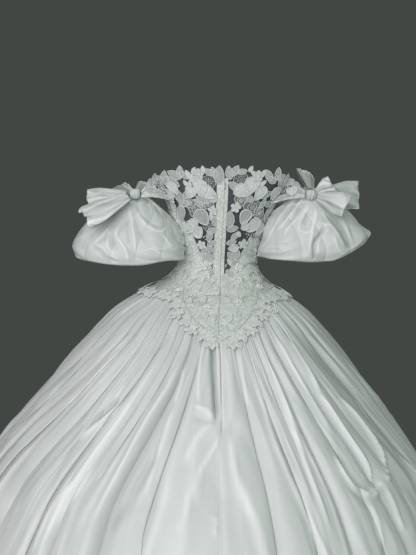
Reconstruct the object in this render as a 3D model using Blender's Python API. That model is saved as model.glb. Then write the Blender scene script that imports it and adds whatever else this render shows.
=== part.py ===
"""Wedding dress: an off-the-shoulder ball gown, standing as it is worn.

The pieces are the cut pieces of the gown: a satin bodice in a front and two
backs, a net yoke with lace laid on it, a placket down the centre back, lace
round the hips, a gathered taffeta skirt in five gores, and two balloon
sleeves, each on a cuff, with a four-looped bow on its gathers and a satin
band over its head.

Metres, +Z up. The origin is the middle of the waist, -Y is the gown's back
and +X the wearer's right. Angles run round the gown in degrees from the
centre back (0) through the wearer's right side (90) to the centre front
(180). Heights are measured up from the waist.
"""
import math

import bpy
import bmesh
import numpy as np
from mathutils import Vector
from mathutils.geometry import delaunay_2d_cdt

SEAM_GAP = 0.0003        # between pieces that are sewn together
TAFFETA = 0.0016         # skirt, sleeve and bow walls
SATIN = 0.0020           # bodice wall, satin on its interlining
NET = 0.0010             # yoke wall
LACE = 0.0012            # corded lace
PLACKET = 0.0026         # folded net and satin down the opening

HEM = -1.080             # the hem's height, just clear of the floor
WAIST_SIDE = -0.068      # basque seam at the side seams
BACK_POINT = 0.104       # how far the basque drops at the centre back
FRONT_POINT = 0.072      # and at the centre front
SWAY = -0.008            # the skirt hangs this far to the left of the waist
SEWN_DOWN = 0.030        # the skirt's gathers open out over this far below the seam
FOLD_ROUNDNESS = 0.75    # power of the sine across a fold: below 1, a round crest and a narrow valley
YOKE_END = 85.0          # angle at which the yoke ends on the shoulder

# The gown's girth: half its width, its depth behind and in front of the
# side seams, and how square each ring's shoulders are.
GIRTH_COLUMNS = ("height", "half_width", "back", "front", "square")
GIRTH = (
    (-1.080, 0.859, 0.880, 0.695, 0.00),
    (-1.000, 0.837, 0.850, 0.675, 0.00),
    (-0.850, 0.782, 0.780, 0.625, 0.00),
    (-0.700, 0.708, 0.690, 0.560, 0.00),
    (-0.533, 0.606, 0.575, 0.475, 0.00),
    (-0.380, 0.485, 0.447, 0.385, 0.00),
    (-0.290, 0.416, 0.375, 0.335, 0.00),
    (-0.185, 0.324, 0.282, 0.262, 0.00),
    (-0.134, 0.272, 0.225, 0.215, 0.00),
    (-0.085, 0.197, 0.158, 0.155, 0.00),
    (-0.060, 0.150, 0.122, 0.124, 0.01),
    (-0.030, 0.121, 0.094, 0.103, 0.03),
    (0.000, 0.1115, 0.084, 0.094, 0.05),
    (0.040, 0.116, 0.088, 0.103, 0.08),
    (0.080, 0.127, 0.096, 0.121, 0.12),
    (0.120, 0.138, 0.104, 0.136, 0.18),
    (0.160, 0.149, 0.110, 0.141, 0.22),
    (0.200, 0.174, 0.113, 0.131, 0.26),
    (0.230, 0.195, 0.108, 0.118, 0.28),
    (0.270, 0.203, 0.098, 0.106, 0.28),
)

# Height of the satin's upper edge: a deep V at the back, the underarms, and
# a shallow dip at the front.
SATIN_EDGE_COLUMNS = ("angle", "height")
SATIN_EDGE = (
    (0.0, -0.034), (10.0, -0.017), (21.0, 0.006), (32.0, 0.041),
    (38.5, 0.078), (51.0, 0.126), (66.0, 0.162), (80.0, 0.184),
    (90.0, 0.187), (104.0, 0.191), (122.0, 0.194), (150.0, 0.188),
    (180.0, 0.176),
)

# Valleys between the skirt's folds: where each leaves the waist seam, where
# it reaches the hem, how deep it is beside the others, and how far down it
# runs before it dies out.
FOLD_COLUMNS = ("waist_angle", "hem_angle", "depth", "foot")
BACK_FOLDS = (
    (-90.0, -108.0, 0.8, HEM),
    (-78.0, -98.5, 0.7, HEM),
    (-67.0, -89.5, 1.2, HEM),
    (-59.0, -82.5, 0.5, -0.60),
    (-51.0, -76.0, 1.1, HEM),
    (-44.0, -66.0, 0.6, HEM),
    (-38.0, -56.5, 1.2, HEM),
    (-33.0, -48.5, 0.8, -0.46),
    (-27.5, -44.0, 0.6, HEM),
    (-22.5, -39.0, 1.1, HEM),
    (-18.0, -34.0, 0.5, -0.50),
    (-13.5, -28.5, 1.5, HEM),
    (-8.8, -17.5, 0.9, HEM),
    (-1.6, -2.5, 1.4, -0.55),
    (5.5, 10.5, 0.9, HEM),
    (10.5, 18.0, 0.7, HEM),
    (15.0, 22.5, 0.5, -0.45),
    (20.0, 27.0, 1.4, HEM),
    (24.5, 34.5, 0.6, HEM),
    (29.0, 42.5, 1.1, HEM),
    (35.5, 51.5, 0.6, -0.60),
    (42.5, 60.5, 1.5, HEM),
    (50.0, 66.5, 0.6, HEM),
    (58.0, 72.0, 1.0, HEM),
    (67.0, 78.0, 0.8, HEM),
    (77.0, 86.5, 1.0, HEM),
    (90.0, 98.0, 0.8, HEM),
)
FRONT_FOLDS = 16                       # valleys in front, between the two above
UNEVEN_SPACING = (0.0, 1.3, -0.8, 0.9, -1.4, 0.4)
UNEVEN_DEPTH = (1.1, 0.6, 1.3, 0.8, 0.5, 1.2, 0.7)

# Depth of a fold of depth 1, down the skirt.
DEPTH_COLUMNS = ("height", "depth")
FOLD_DEPTH = (
    (-1.080, 0.034), (-0.800, 0.031), (-0.550, 0.025), (-0.380, 0.0195),
    (-0.260, 0.0145), (-0.180, 0.010), (-0.120, 0.0065), (-0.060, 0.003),
)

# The skirt's gores, by the folds that their seams lie in.
GORES = (
    # name, first fold, last fold
    ("skirt_back_left", 4, 13),
    ("skirt_back_right", 13, 22),
    ("skirt_side_right", 22, 30),
    ("skirt_front", 30, 39),
    ("skirt_side_left", 39, 47),
)
SIDE_SEAM_LEFT, OPENING, SIDE_SEAM_RIGHT, ROUND = 0, 13, 26, 43
SKIRT_ROWS = (0.0, 0.045, 0.11, 0.205, 0.36, 0.63, 1.0)


def columns(table, names):
    """A table's columns by name, as arrays."""
    return {name: np.array([row[i] for row in table]) for i, name in enumerate(names)}


def smooth(keys, values, at):
    """Reads the smooth curve through (keys, values)."""
    slopes = np.gradient(values, keys)
    at = np.clip(at, keys[0], keys[-1])
    i = np.clip(np.searchsorted(keys, at, side="right") - 1, 0, len(keys) - 2)
    span = keys[i + 1] - keys[i]
    t = (at - keys[i]) / span
    start = (1 + 2 * t) * (1 - t) ** 2 * values[i] + t * (1 - t) ** 2 * span * slopes[i]
    end = t * t * (3 - 2 * t) * values[i + 1] + t * t * (t - 1) * span * slopes[i + 1]
    return start + end


def ease(t):
    """0 to 1 with level ends."""
    t = np.clip(t, 0.0, 1.0)
    return t * t * (3 - 2 * t)


def off_back(angle):
    """The angle from the centre back, 0 to 180, on either side."""
    return np.abs((np.asarray(angle, dtype=float) + 180.0) % 360.0 - 180.0)


GIRTH_AT = columns(GIRTH, GIRTH_COLUMNS)
EDGE_AT = columns(SATIN_EDGE, SATIN_EDGE_COLUMNS)
DEPTH_AT = columns(FOLD_DEPTH, DEPTH_COLUMNS)


def girth(name, height):
    return smooth(GIRTH_AT["height"], GIRTH_AT[name], height)


def form(angle, height):
    """A point of the gown's smooth outer form."""
    angle, height = np.broadcast_arrays(np.asarray(angle, float), np.asarray(height, float))
    turn = np.radians(angle)
    depth = np.where(np.cos(turn) > 0, girth("back", height), girth("front", height))
    squared = 1 + girth("square", height) * np.sin(turn) ** 2
    x = girth("half_width", height) * np.sin(turn) + SWAY * ease((-0.03 - height) / 0.10)
    y = -depth * np.cos(turn) * squared
    return np.stack([x, y, height], axis=-1)


def unit(vectors):
    return vectors / np.maximum(np.linalg.norm(vectors, axis=-1, keepdims=True), 1e-12)


def cloth(angle, height, out=0.0):
    """A point at a distance out from the form, square to it."""
    angle, height = np.broadcast_arrays(np.asarray(angle, float), np.asarray(height, float))
    across = form(angle + 0.5, height) - form(angle - 0.5, height)
    down = form(angle, height - 0.002) - form(angle, height + 0.002)
    normal = unit(np.cross(down, across))
    return form(angle, height) + normal * np.asarray(out, float)[..., None]


def seam_height(angle):
    """The basque seam, with a point at the centre back and centre front."""
    away = off_back(angle)
    back = np.clip(1 - away / 38.0, 0, 1) ** 1.1
    front = np.clip(1 - (180.0 - away) / 44.0, 0, 1) ** 1.1
    return WAIST_SIDE - BACK_POINT * back - FRONT_POINT * front


def satin_height(angle):
    """The bodice satin's upper edge."""
    return smooth(EDGE_AT["angle"], EDGE_AT["height"], off_back(angle))


def neck_height(angle):
    """The yoke's upper edge."""
    return 0.252 - 0.034 * (off_back(angle) / YOKE_END) ** 2


def closure_angle(height):
    """The centre back opening, which the skirt's weight draws to the left."""
    return -1.6 * ease((-0.045 - height) / 0.120)


def fold_rows():
    """All the skirt's valleys in order round the gown."""
    rows = [dict(zip(FOLD_COLUMNS, row)) for row in BACK_FOLDS]
    first, last = rows[-1], rows[0]
    waist_span = last["waist_angle"] + 360.0 - first["waist_angle"]
    hem_span = last["hem_angle"] + 360.0 - first["hem_angle"]
    for i in range(1, FRONT_FOLDS + 1):
        share = i / (FRONT_FOLDS + 1)
        shift = UNEVEN_SPACING[i % len(UNEVEN_SPACING)]
        rows.append({
            "waist_angle": first["waist_angle"] + share * waist_span + 0.7 * shift,
            "hem_angle": first["hem_angle"] + share * hem_span + shift,
            "depth": UNEVEN_DEPTH[i % len(UNEVEN_DEPTH)],
            "foot": HEM,
        })
    return rows


FOLDS = fold_rows()


def fold_value(name, place):
    """A fold column at whole fold numbers, counted on round the gown."""
    place = np.asarray(place, dtype=int)
    values = np.array([row[name] for row in FOLDS])
    turns, index = np.divmod(place, len(FOLDS))
    value = values[index]
    if name in ("waist_angle", "hem_angle"):
        value = value + 360.0 * turns
    return value


def between_folds(name, place):
    low = np.floor(place).astype(int)
    share = place - low
    return fold_value(name, low) * (1 - share) + fold_value(name, low + 1) * share


def valley_depth(fold, height):
    """How deep one valley is at a height."""
    foot = fold_value("foot", fold)
    fading = np.where(foot > HEM, ease((height - foot) / 0.16), 1.0)
    depth = smooth(DEPTH_AT["height"], DEPTH_AT["depth"], height)
    return fold_value("depth", fold) * depth * fading


def skirt_cloth(place, height, out=0.0):
    """A point of the gathered skirt; place counts folds round the waist."""
    place, height = np.broadcast_arrays(np.asarray(place, float), np.asarray(height, float))
    spread = ease((-0.10 - height) / 0.45)
    waist_angle = between_folds("waist_angle", place)
    hem_angle = between_folds("hem_angle", place)
    angle = waist_angle + (hem_angle - waist_angle) * spread
    low = np.floor(place).astype(int)
    share = place - low
    valley = valley_depth(low, height) * (1 - ease(share)) + valley_depth(low + 1, height) * ease(share)
    rounding = np.abs(np.sin(np.pi * place)) ** FOLD_ROUNDNESS
    at_seam = ease((seam_height(waist_angle) - height) / SEWN_DOWN)
    points = cloth(angle, height, out - valley * (1 - rounding) * at_seam)
    level = ease((-0.45 - height) / 0.50)
    points[..., 2] += (height - points[..., 2]) * level
    return points


def skirt_height(place, down):
    """Height at a share of the way down from the waist seam to the hem."""
    top = seam_height(between_folds("waist_angle", place)) - SEAM_GAP / 2
    return top + (HEM - top) * down


# ---------------------------------------------------------------- making

MATERIALS = {
    # name: (colour, roughness)
    "taffeta": ((0.62, 0.65, 0.63), 0.42),
    "satin": ((0.56, 0.60, 0.56), 0.45),
    "net": ((0.10, 0.12, 0.13), 0.80),
    "lace": ((0.66, 0.70, 0.68), 0.65),
}


def finish_for(name):
    """The material of this name, made once."""
    material = bpy.data.materials.get(name)
    if material is None:
        colour, roughness = MATERIALS[name]
        material = bpy.data.materials.new(name)
        material.use_nodes = True
        shader = material.node_tree.nodes["Principled BSDF"]
        shader.inputs["Base Color"].default_value = (*colour, 1.0)
        shader.inputs["Roughness"].default_value = roughness
        shader.inputs["Metallic"].default_value = 0.0
    return material


def add_piece(name, points, faces, finish):
    """One closed body from its points and faces."""
    mesh = bpy.data.meshes.new(name)
    mesh.from_pydata([tuple(p) for p in points], [], faces)
    tidy = bmesh.new()
    tidy.from_mesh(mesh)
    bmesh.ops.recalc_face_normals(tidy, faces=tidy.faces)
    tidy.to_mesh(mesh)
    tidy.free()
    mesh.materials.append(finish_for(finish))
    mesh.shade_smooth()
    piece = bpy.data.objects.new(name, mesh)
    bpy.context.scene.collection.objects.link(piece)
    return piece


def behind(grid, thickness, closed=False):
    """The inner points of a wall, square to its outer points."""
    if closed:
        along = np.roll(grid, -1, axis=0) - np.roll(grid, 1, axis=0)
    else:
        along = np.gradient(grid, axis=0)
    down = np.gradient(grid, axis=1)
    return grid - unit(np.cross(down, along)) * thickness


def wall(name, outer, inner, finish, closed=False):
    """A cloth wall between two grids of points, columns round, rows down."""
    count, rows = outer.shape[:2]
    points = np.concatenate([outer.reshape(-1, 3), inner.reshape(-1, 3)])
    inside = count * rows
    faces = []

    def length(a, b):
        return np.linalg.norm(points[a] - points[b])

    def index(column, row):
        return (column % count) * rows + row

    def both_sides(a, b, c, d):
        """A quad's two triangles, split along its shorter diagonal."""
        halves = ((a, b, c), (a, c, d)) if length(a, c) <= length(b, d) else ((a, b, d), (b, c, d))
        for face in halves:
            faces.append(face)
            faces.append(tuple(inside + i for i in reversed(face)))

    def rim(a, b):
        faces.append((a, b, inside + b))
        faces.append((a, inside + b, inside + a))

    steps = count if closed else count - 1
    for column in range(steps):
        for row in range(rows - 1):
            both_sides(index(column, row), index(column, row + 1),
                       index(column + 1, row + 1), index(column + 1, row))
        rim(index(column + 1, 0), index(column, 0))
        rim(index(column, rows - 1), index(column + 1, rows - 1))
    if not closed:
        for row in range(rows - 1):
            rim(index(0, row), index(0, row + 1))
            rim(index(count - 1, row + 1), index(count - 1, row))
    return add_piece(name, points, faces, finish)


PANEL_ROWS = (0.0, 0.2, 0.38, 0.53, 0.65, 0.75, 0.84, 0.92, 1.0)
YOKE_ROWS = (0.0, 0.22, 0.43, 0.61, 0.76, 0.89, 1.0)
PLACKET_ROWS = (0.0, 0.2, 0.4, 0.58, 0.72, 0.84, 0.93, 1.0)


def panel(name, places, rows, top, bottom, thickness, finish, first=None, last=None, out=0.0):
    """A bodice panel on the skirt's fold angles, from its top to its bottom edge.

    first and last, where given, are edges whose angle changes with height.
    """
    share = np.array(rows)[None, :]
    angle = fold_value("waist_angle", places).astype(float)[:, None] + 0 * share
    height = 0 * angle
    for _ in range(5):
        height = top(angle) + (bottom(angle) - top(angle)) * share
        if first:
            angle[0] = first(height[0])
        if last:
            angle[-1] = last(height[-1])
    wall(name, cloth(angle, height, out), cloth(angle, height, out - thickness), finish)


# ---------------------------------------------------------------- bodice

LEFT_PLACKET = 0.021     # width of the placket left of the opening
RIGHT_PLACKET = 0.010    # and right of it
LEFT_TOP = 0.243         # top of the placket's left edge
RIGHT_TOP = 0.236        # and of its right edge
NET_DROP = 0.004         # the net is cut below the lace's points
NET_UNDER = 0.0012       # and lies under the satin's edge


def degrees_for(distance, height):
    """Angle that a short distance round the centre back takes up."""
    return np.degrees(distance / girth("half_width", height))


def satin_top(angle):
    return satin_height(angle) - SEAM_GAP / 2


def satin_foot(angle):
    return seam_height(angle) + SEAM_GAP / 2


def net_top(angle):
    return neck_height(angle) - NET_DROP


def net_foot(angle):
    return satin_height(angle) + SEAM_GAP / 2


def at_opening(side, distance):
    """An edge at a distance from the opening, left (-1) or right (1)."""
    return lambda height: closure_angle(height) + side * degrees_for(distance, height)


def at_angle(angle, distance=0.0):
    """An upright edge at an angle, or a distance on from it."""
    return lambda height: angle + degrees_for(distance, height)


def make_bodice():
    """Front and two backs, whose seams lie at the sides and the opening."""
    half_gap = SEAM_GAP / 2
    edges = (
        ("bodice_back_left", SIDE_SEAM_LEFT, OPENING, at_angle(-90, half_gap), at_opening(-1, half_gap)),
        ("bodice_back_right", OPENING, SIDE_SEAM_RIGHT, at_opening(1, half_gap), at_angle(90, -half_gap)),
        ("bodice_front", SIDE_SEAM_RIGHT, ROUND, at_angle(90, half_gap), at_angle(270, -half_gap)),
    )
    for name, start, end, first, last in edges:
        places = np.arange(start, end + 1)
        panel(name, places, PANEL_ROWS, satin_top, satin_foot, SATIN, "satin", first, last)


def make_yoke_net():
    """The see-through halves of the upper back, either side of the placket."""
    left = np.arange(SIDE_SEAM_LEFT, OPENING - 1)
    panel("yoke_net_left", left, YOKE_ROWS, net_top, net_foot, NET, "net",
          at_angle(-YOKE_END), at_opening(-1, LEFT_PLACKET + 2 * SEAM_GAP), -NET_UNDER)
    right = np.arange(OPENING + 1, SIDE_SEAM_RIGHT + 1)
    panel("yoke_net_right", right, YOKE_ROWS, net_top, net_foot, NET, "net",
          at_opening(1, RIGHT_PLACKET + 2 * SEAM_GAP), at_angle(YOKE_END), -NET_UNDER)


def make_placket():
    """The two folded edges of the opening, above the satin's V."""
    def left_top(angle):
        return LEFT_TOP + 0.0 * angle

    def right_top(angle):
        return RIGHT_TOP + 0.0 * angle

    def foot(angle):
        return satin_height(angle) + SEAM_GAP

    left = np.array([OPENING - 1, OPENING])
    panel("placket_left", left, PLACKET_ROWS, left_top, foot, PLACKET, "satin",
          at_opening(-1, LEFT_PLACKET), at_opening(-1, SEAM_GAP / 2), 0.0006)
    right = np.array([OPENING, OPENING + 1])
    panel("placket_right", right, PLACKET_ROWS, right_top, foot, PLACKET, "satin",
          at_opening(1, SEAM_GAP / 2), at_opening(1, RIGHT_PLACKET), 0.0002)


# ---------------------------------------------------------------- lace

LACE_LIFT = 0.0020       # lace stands this far off the cloth behind it
STEM = 0.0030            # corded stem between motifs
CHART_MERGE = 0.8        # chart points nearer than this are one point
CHART_SCALE = 130.0      # millimetres of chart for each radian round the gown

# Motifs of one half of the yoke, all in millimetres and degrees. 'across' is
# the distance from the centre back as seen from behind; 'turn' leans a motif
# towards the shoulder, and 0 points up.
MOTIF_COLUMNS = ("kind", "across", "height", "turn", "size")
YOKE_MOTIFS = (
    ("leaf", 17, 252, 4, 36), ("rose", 42, 232, 0, 46), ("petal", 46, 214, 150, 44),
    ("petal", 66, 221, 60, 40), ("blossom", 66, 250, 0, 27), ("blossom", 86, 244, 20, 26),
    ("blossom", 93, 220, 0, 25), ("leaf", 113, 258, 2, 32), ("leaf", 131, 246, 62, 36),
    ("leaf", 152, 242, 20, 38), ("leaf", 138, 225, 100, 38), ("leaf", 162, 228, 60, 34),
    ("rose", 160, 206, 0, 44), ("leaf", 122, 202, 12, 50), ("leaf", 92, 198, -35, 42),
    ("leaf", 82, 184, -62, 36), ("leaf", 112, 170, 62, 36), ("rose", 76, 156, 0, 46),
    ("leaf", 104, 142, 24, 44), ("petal", 40, 172, 30, 36), ("blossom", 31, 152, 0, 32),
    ("rose", 42, 122, 0, 42), ("petal", 64, 128, 30, 42), ("petal", 78, 104, 110, 40),
    ("leaf", 30, 98, 75, 32), ("leaf", 36, 80, -10, 34), ("blossom", 60, 60, 0, 27),
    ("leaf", 28, 58, 80, 28), ("tulip", 34, 26, 0, 38), ("leaf", 40, 6, 70, 26),
    ("leaf", 24, -6, 20, 24),
)

# Courses of lace that follow the basque seam: how far each flower stands above
# the seam, the spacing between flowers, the flower and its size, and the leaf
# size and directions of the spray round it (0 up, 90 towards the side seam).
COURSE_COLUMNS = ("above", "spacing", "flower", "size", "leaf", "directions")
HIP_COURSES = (
    (17, 46, "rose", 46, 40, (158, 205, 28)),
    (76, 60, "blossom", 38, 42, (100, -75)),
)
FRONT_COURSES = (
    (14, 62, "rose", 52, 44, (158, 202)),
)
HIP_UNEVEN = (0.0, 5.0, -4.0, 2.5, -6.0, 3.5, -1.5)


def leaf_outline(size):
    """A pointed leaf standing on its stalk, with its midrib."""
    half = 0.23 * size
    edge = [(0, -0.5 * size), (half, -0.14 * size), (0.72 * half, 0.22 * size), (0, 0.5 * size),
            (-0.72 * half, 0.22 * size), (-half, -0.14 * size)]
    return edge, [(0, 0)]


def scalloped_outline(size, lobes, dent):
    """A flower of round lobes."""
    edge = []
    for i in range(2 * lobes):
        turn = math.pi * i / lobes
        radius = 0.5 * size * (1 - dent * (i % 2))
        edge.append((radius * math.sin(turn), radius * math.cos(turn)))
    return edge, [(0, 0)]


def petal_outline(size):
    """A broad rose petal, narrow at its foot."""
    half = 0.44 * size
    edge = [(0, -0.5 * size), (0.7 * half, -0.16 * size), (half, 0.18 * size), (0.5 * half, 0.46 * size),
            (-0.5 * half, 0.46 * size), (-half, 0.18 * size), (-0.7 * half, -0.16 * size)]
    return edge, [(0, 0.05 * size)]


def tulip_outline(size):
    """A tulip head with three points."""
    half = 0.42 * size
    edge = [(0, -0.5 * size), (0.8 * half, -0.2 * size), (half, 0.4 * size), (0.42 * half, 0.12 * size),
            (0, 0.5 * size), (-0.42 * half, 0.12 * size), (-half, 0.4 * size), (-0.8 * half, -0.2 * size)]
    return edge, [(0, -0.1 * size)]


def outline_of(kind, size):
    if kind == "leaf":
        return leaf_outline(size)
    if kind == "petal":
        return petal_outline(size)
    if kind == "tulip":
        return tulip_outline(size)
    if kind == "rose":
        return scalloped_outline(size, 5, 0.14)
    return scalloped_outline(size, 5, 0.42)


def chart_point(angle, height):
    """Where a place on the gown lies on the flat lace chart, in millimetres."""
    return np.radians(angle) * CHART_SCALE, height * 1000.0


def gown_place(chart_x, chart_y):
    """The angle and height of a point of the chart."""
    return np.degrees(chart_x / CHART_SCALE), chart_y / 1000.0


def round_speed(angle, height):
    """Metres round the gown for each degree."""
    return np.linalg.norm(form(angle + 0.5, height) - form(angle - 0.5, height), axis=-1)


def place_motif(kind, angle, height, turn, size, side):
    """A motif's edge and inner points on the chart; its sizes are true on the gown."""
    edge, inner = outline_of(kind, size)
    lean = math.radians(turn)
    speed = float(round_speed(angle, height))

    def laid(points):
        chart = []
        for x, y in points:
            across = x * math.cos(lean) + y * math.sin(lean)
            up = y * math.cos(lean) - x * math.sin(lean)
            place = angle + side * across / 1000.0 / speed
            chart.append(chart_point(place, height + up / 1000.0))
        return chart[::-1] if side < 0 else chart

    return laid(edge)[::-1], laid(inner)


def stem_between(start, end):
    """A narrow corded stem from one motif's middle to another's."""
    start, end = np.array(start), np.array(end)
    along = (end - start) / np.linalg.norm(end - start)
    aside = np.array([along[1], -along[0]]) * STEM * 500.0
    middle = (start + end) / 2
    return [tuple(start - aside), tuple(start + aside), tuple(middle + aside),
            tuple(end + aside), tuple(end - aside), tuple(middle - aside)]


def counter_clockwise(polygon):
    area = sum(a[0] * b[1] - a[1] * b[0] for a, b in zip(polygon, polygon[1:] + polygon[:1]))
    return polygon if area > 0 else polygon[::-1]


def edges_of(outline):
    return list(zip(outline, outline[1:] + outline[:1]))


def crossing(first, second):
    """Whether two outlines cross."""
    def side(a, b, c):
        return (b[0] - a[0]) * (c[1] - a[1]) - (b[1] - a[1]) * (c[0] - a[0])

    return any(side(a, b, c) * side(a, b, d) < 0 and side(c, d, a) * side(c, d, b) < 0
               for a, b in edges_of(first) for c, d in edges_of(second))


def encloses(outline, point):
    """Whether a chart point lies inside an outline."""
    within = False
    for (ax, ay), (bx, by) in edges_of(outline):
        if (ay > point[1]) != (by > point[1]) and point[0] < ax + (point[1] - ay) / (by - ay) * (bx - ax):
            within = not within
    return within


def motif_chart(motifs):
    """Outlines and inner points of motifs; stems join those that stand apart."""
    edges = [edge for edge, _ in motifs]
    middles = [np.mean(edge, axis=0) for edge in edges]
    outlines = list(edges)
    joined, waiting = {0}, set(range(1, len(edges)))
    while waiting:
        touching = {w for w in waiting if any(crossing(edges[w], edges[j]) for j in joined)}
        if not touching:
            near, far = min(((w, j) for w in waiting for j in joined),
                            key=lambda pair: np.linalg.norm(middles[pair[0]] - middles[pair[1]]))
            outlines.append(stem_between(middles[near], middles[far]))
            touching = {near}
        joined |= touching
        waiting -= touching
    inner = [point for _, points in motifs for point in points]
    return [counter_clockwise(outline) for outline in outlines], inner


def mend_pinches(triangles, kept, allowed):
    """Adds triangles where kept ones meet only at a point."""
    around = {}
    for t, triangle in enumerate(triangles):
        for corner in triangle:
            around.setdefault(corner, []).append(t)
    for _ in range(12):
        changed = False
        for corner, ring in around.items():
            fans = fan_count([triangles[t] for t in ring if t in kept], corner)
            if fans < 2:
                continue
            missing = [t for t in ring if t not in kept and t in allowed]
            for t in missing:
                if fan_count([triangles[k] for k in ring if k in kept or k == t], corner) < fans:
                    kept.add(t)
                    changed = True
                    break
            else:
                for t in missing:
                    kept.add(t)
                    changed = True
        if not changed:
            return


def fan_count(fan, corner):
    """How many separate fans these triangles make round a corner."""
    groups = []
    for triangle in fan:
        rest = set(triangle) - {corner}
        joined = [group for group in groups if group & rest]
        for group in joined:
            groups.remove(group)
            rest |= group
        groups.append(rest)
    return len(groups)


def largest_part(triangles, kept):
    """The largest set of kept triangles joined edge to edge."""
    by_edge = {}
    for t in kept:
        a, b, c = triangles[t]
        for edge in ((a, b), (b, c), (c, a)):
            by_edge.setdefault(frozenset(edge), []).append(t)
    left, best = set(kept), set()
    while left:
        found, front = set(), [next(iter(left))]
        while front:
            t = front.pop()
            if t in found:
                continue
            found.add(t)
            a, b, c = triangles[t]
            for edge in ((a, b), (b, c), (c, a)):
                front.extend(by_edge[frozenset(edge)])
        left -= found
        if len(found) > len(best):
            best = found
    return best


def lace_piece(name, motifs, region, lifted):
    """Motifs cut out of one sheet of lace: region bounds it on the chart,
    and lifted(angle, height) is how far its outside stands off the form."""
    outlines, inner = motif_chart(motifs)
    points, faces = [], []
    for outline in [counter_clockwise(region)] + outlines:
        faces.append(list(range(len(points), len(points) + len(outline))))
        points.extend(outline)
    points.extend(inner)
    vectors = [Vector(point) for point in points]
    flat, _, cells = delaunay_2d_cdt(vectors, [], faces, 0, CHART_MERGE)[:3]
    middles = [sum((flat[corner] for corner in cell), Vector((0, 0))) / 3 for cell in cells]
    allowed = {c for c, middle in enumerate(middles) if encloses(region, middle)}
    kept = {c for c in allowed if any(encloses(outline, middles[c]) for outline in outlines)}
    mend_pinches(cells, kept, allowed)
    kept = largest_part(cells, kept)
    used = sorted({corner for c in kept for corner in cells[c]})
    number = {corner: i for i, corner in enumerate(used)}
    chart = np.array([flat[corner] for corner in used])
    angle, height = gown_place(chart[:, 0], chart[:, 1])
    out = lifted(angle, height)
    outer, back = cloth(angle, height, out), cloth(angle, height, out - LACE)
    count = len(used)
    sheet, edges = [], {}
    for c in kept:
        corners = [number[corner] for corner in cells[c]]
        sheet.append(tuple(corners))
        sheet.append(tuple(count + corner for corner in reversed(corners)))
        for a, b in zip(corners, corners[1:] + corners[:1]):
            edges[(a, b)] = edges.get((a, b), 0) + 1
    for a, b in edges:
        if (b, a) not in edges:
            sheet.append((b, a, count + a))
            sheet.append((b, count + a, count + b))
    add_piece(name, np.concatenate([outer, back]), sheet, "lace")


def boundary(side, low_angle, high_angle, top, foot, steps=10):
    """A chart polygon between two angles and two edges of the gown."""
    def angles(height_of):
        start = 0.0
        for _ in range(4):
            start = low_angle(height_of(start))
        return side * np.linspace(start, high_angle, steps + 1)

    def line(height_of):
        return [chart_point(a, float(height_of(abs(a)))) for a in angles(height_of)]

    return line(top) + line(foot)[::-1]


def make_yoke_lace():
    """Appliqued leaves and flowers over the net, left and right."""
    for side, word, strip in ((-1, "left", LEFT_PLACKET), (1, "right", RIGHT_PLACKET)):
        motifs = []
        for row in YOKE_MOTIFS:
            motif = dict(zip(MOTIF_COLUMNS, row))
            height = motif["height"] / 1000.0
            reach = motif["across"] / 1000.0 / float(girth("half_width", height))
            angle = side * math.degrees(math.asin(min(reach, 0.985)))
            motifs.append(place_motif(motif["kind"], angle, height, motif["turn"], motif["size"], side))

        def beside_placket(height):
            return degrees_for(strip + 3 * SEAM_GAP, height)

        region = boundary(side, beside_placket, YOKE_END + 2.0,
                          lambda a: neck_height(a) + 0.030, lambda a: satin_height(a) + 2 * SEAM_GAP)
        lace_piece("yoke_lace_" + word, motifs, region, lambda a, h: LACE_LIFT + LACE + 0 * a)


def hip_motifs(side, start, end, courses):
    """Sprays of flowers and leaves in courses along the basque seam."""
    motifs = []
    for row in courses:
        course = dict(zip(COURSE_COLUMNS, row))
        angle = start + 5.0
        k = 0
        while angle < end:
            shift = HIP_UNEVEN[k % len(HIP_UNEVEN)]
            height = float(seam_height(angle)) + (course["above"] + 0.6 * shift) / 1000.0
            speed = float(round_speed(angle, height))
            if height < float(satin_height(angle)) - 0.012:
                motifs.append(place_motif(course["flower"], side * angle, height, 4.0 * shift,
                                          course["size"], side))
                for direction in course["directions"]:
                    turn = direction + 3.0 * shift
                    reach = (0.36 * course["size"] + 0.44 * course["leaf"]) / 1000.0
                    leaf_angle = angle + reach * math.sin(math.radians(turn)) / speed
                    leaf_height = height + reach * math.cos(math.radians(turn))
                    motifs.append(place_motif("leaf", side * leaf_angle, leaf_height, turn,
                                              course["leaf"] * (1 + 0.02 * shift), side))
            angle += course["spacing"] / 1000.0 / speed
            k += 1
    return motifs


def hip_lift(angle, height):
    """Lace lies close on the satin, and its points stand off the skirt."""
    below = seam_height(angle) - height
    hollow = np.exp(-((height + 0.015) / 0.035) ** 2)
    return LACE_LIFT + LACE + 0.0018 * hollow + 0.006 * ease(below / 0.030)


def make_hip_lace():
    """Lace over the basque, from the satin's edge to just below the waist seam."""
    def top(angle):
        return satin_height(angle) - 2 * SEAM_GAP

    def foot(angle):
        return seam_height(angle) - 0.034

    def left_edge(height):
        return degrees_for(0.003, height) - closure_angle(height)

    def right_edge(height):
        return degrees_for(0.003, height) + closure_angle(height)

    end = 90.0 - 0.2
    for name, side, edge in (("hip_lace_left", -1, left_edge), ("hip_lace_right", 1, right_edge)):
        region = boundary(side, edge, end, top, foot)
        lace_piece(name, hip_motifs(side, 0.0, end, HIP_COURSES), region, hip_lift)
    front = hip_motifs(1, 90.0, 270.0, FRONT_COURSES)
    region = boundary(1, lambda height: 90.2, 269.8, top, foot, 24)
    lace_piece("hip_lace_front", front, region, hip_lift)


# ---------------------------------------------------------------- skirt

STEPS_IN_FOLD = (0.0, 0.3, 0.7)


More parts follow.
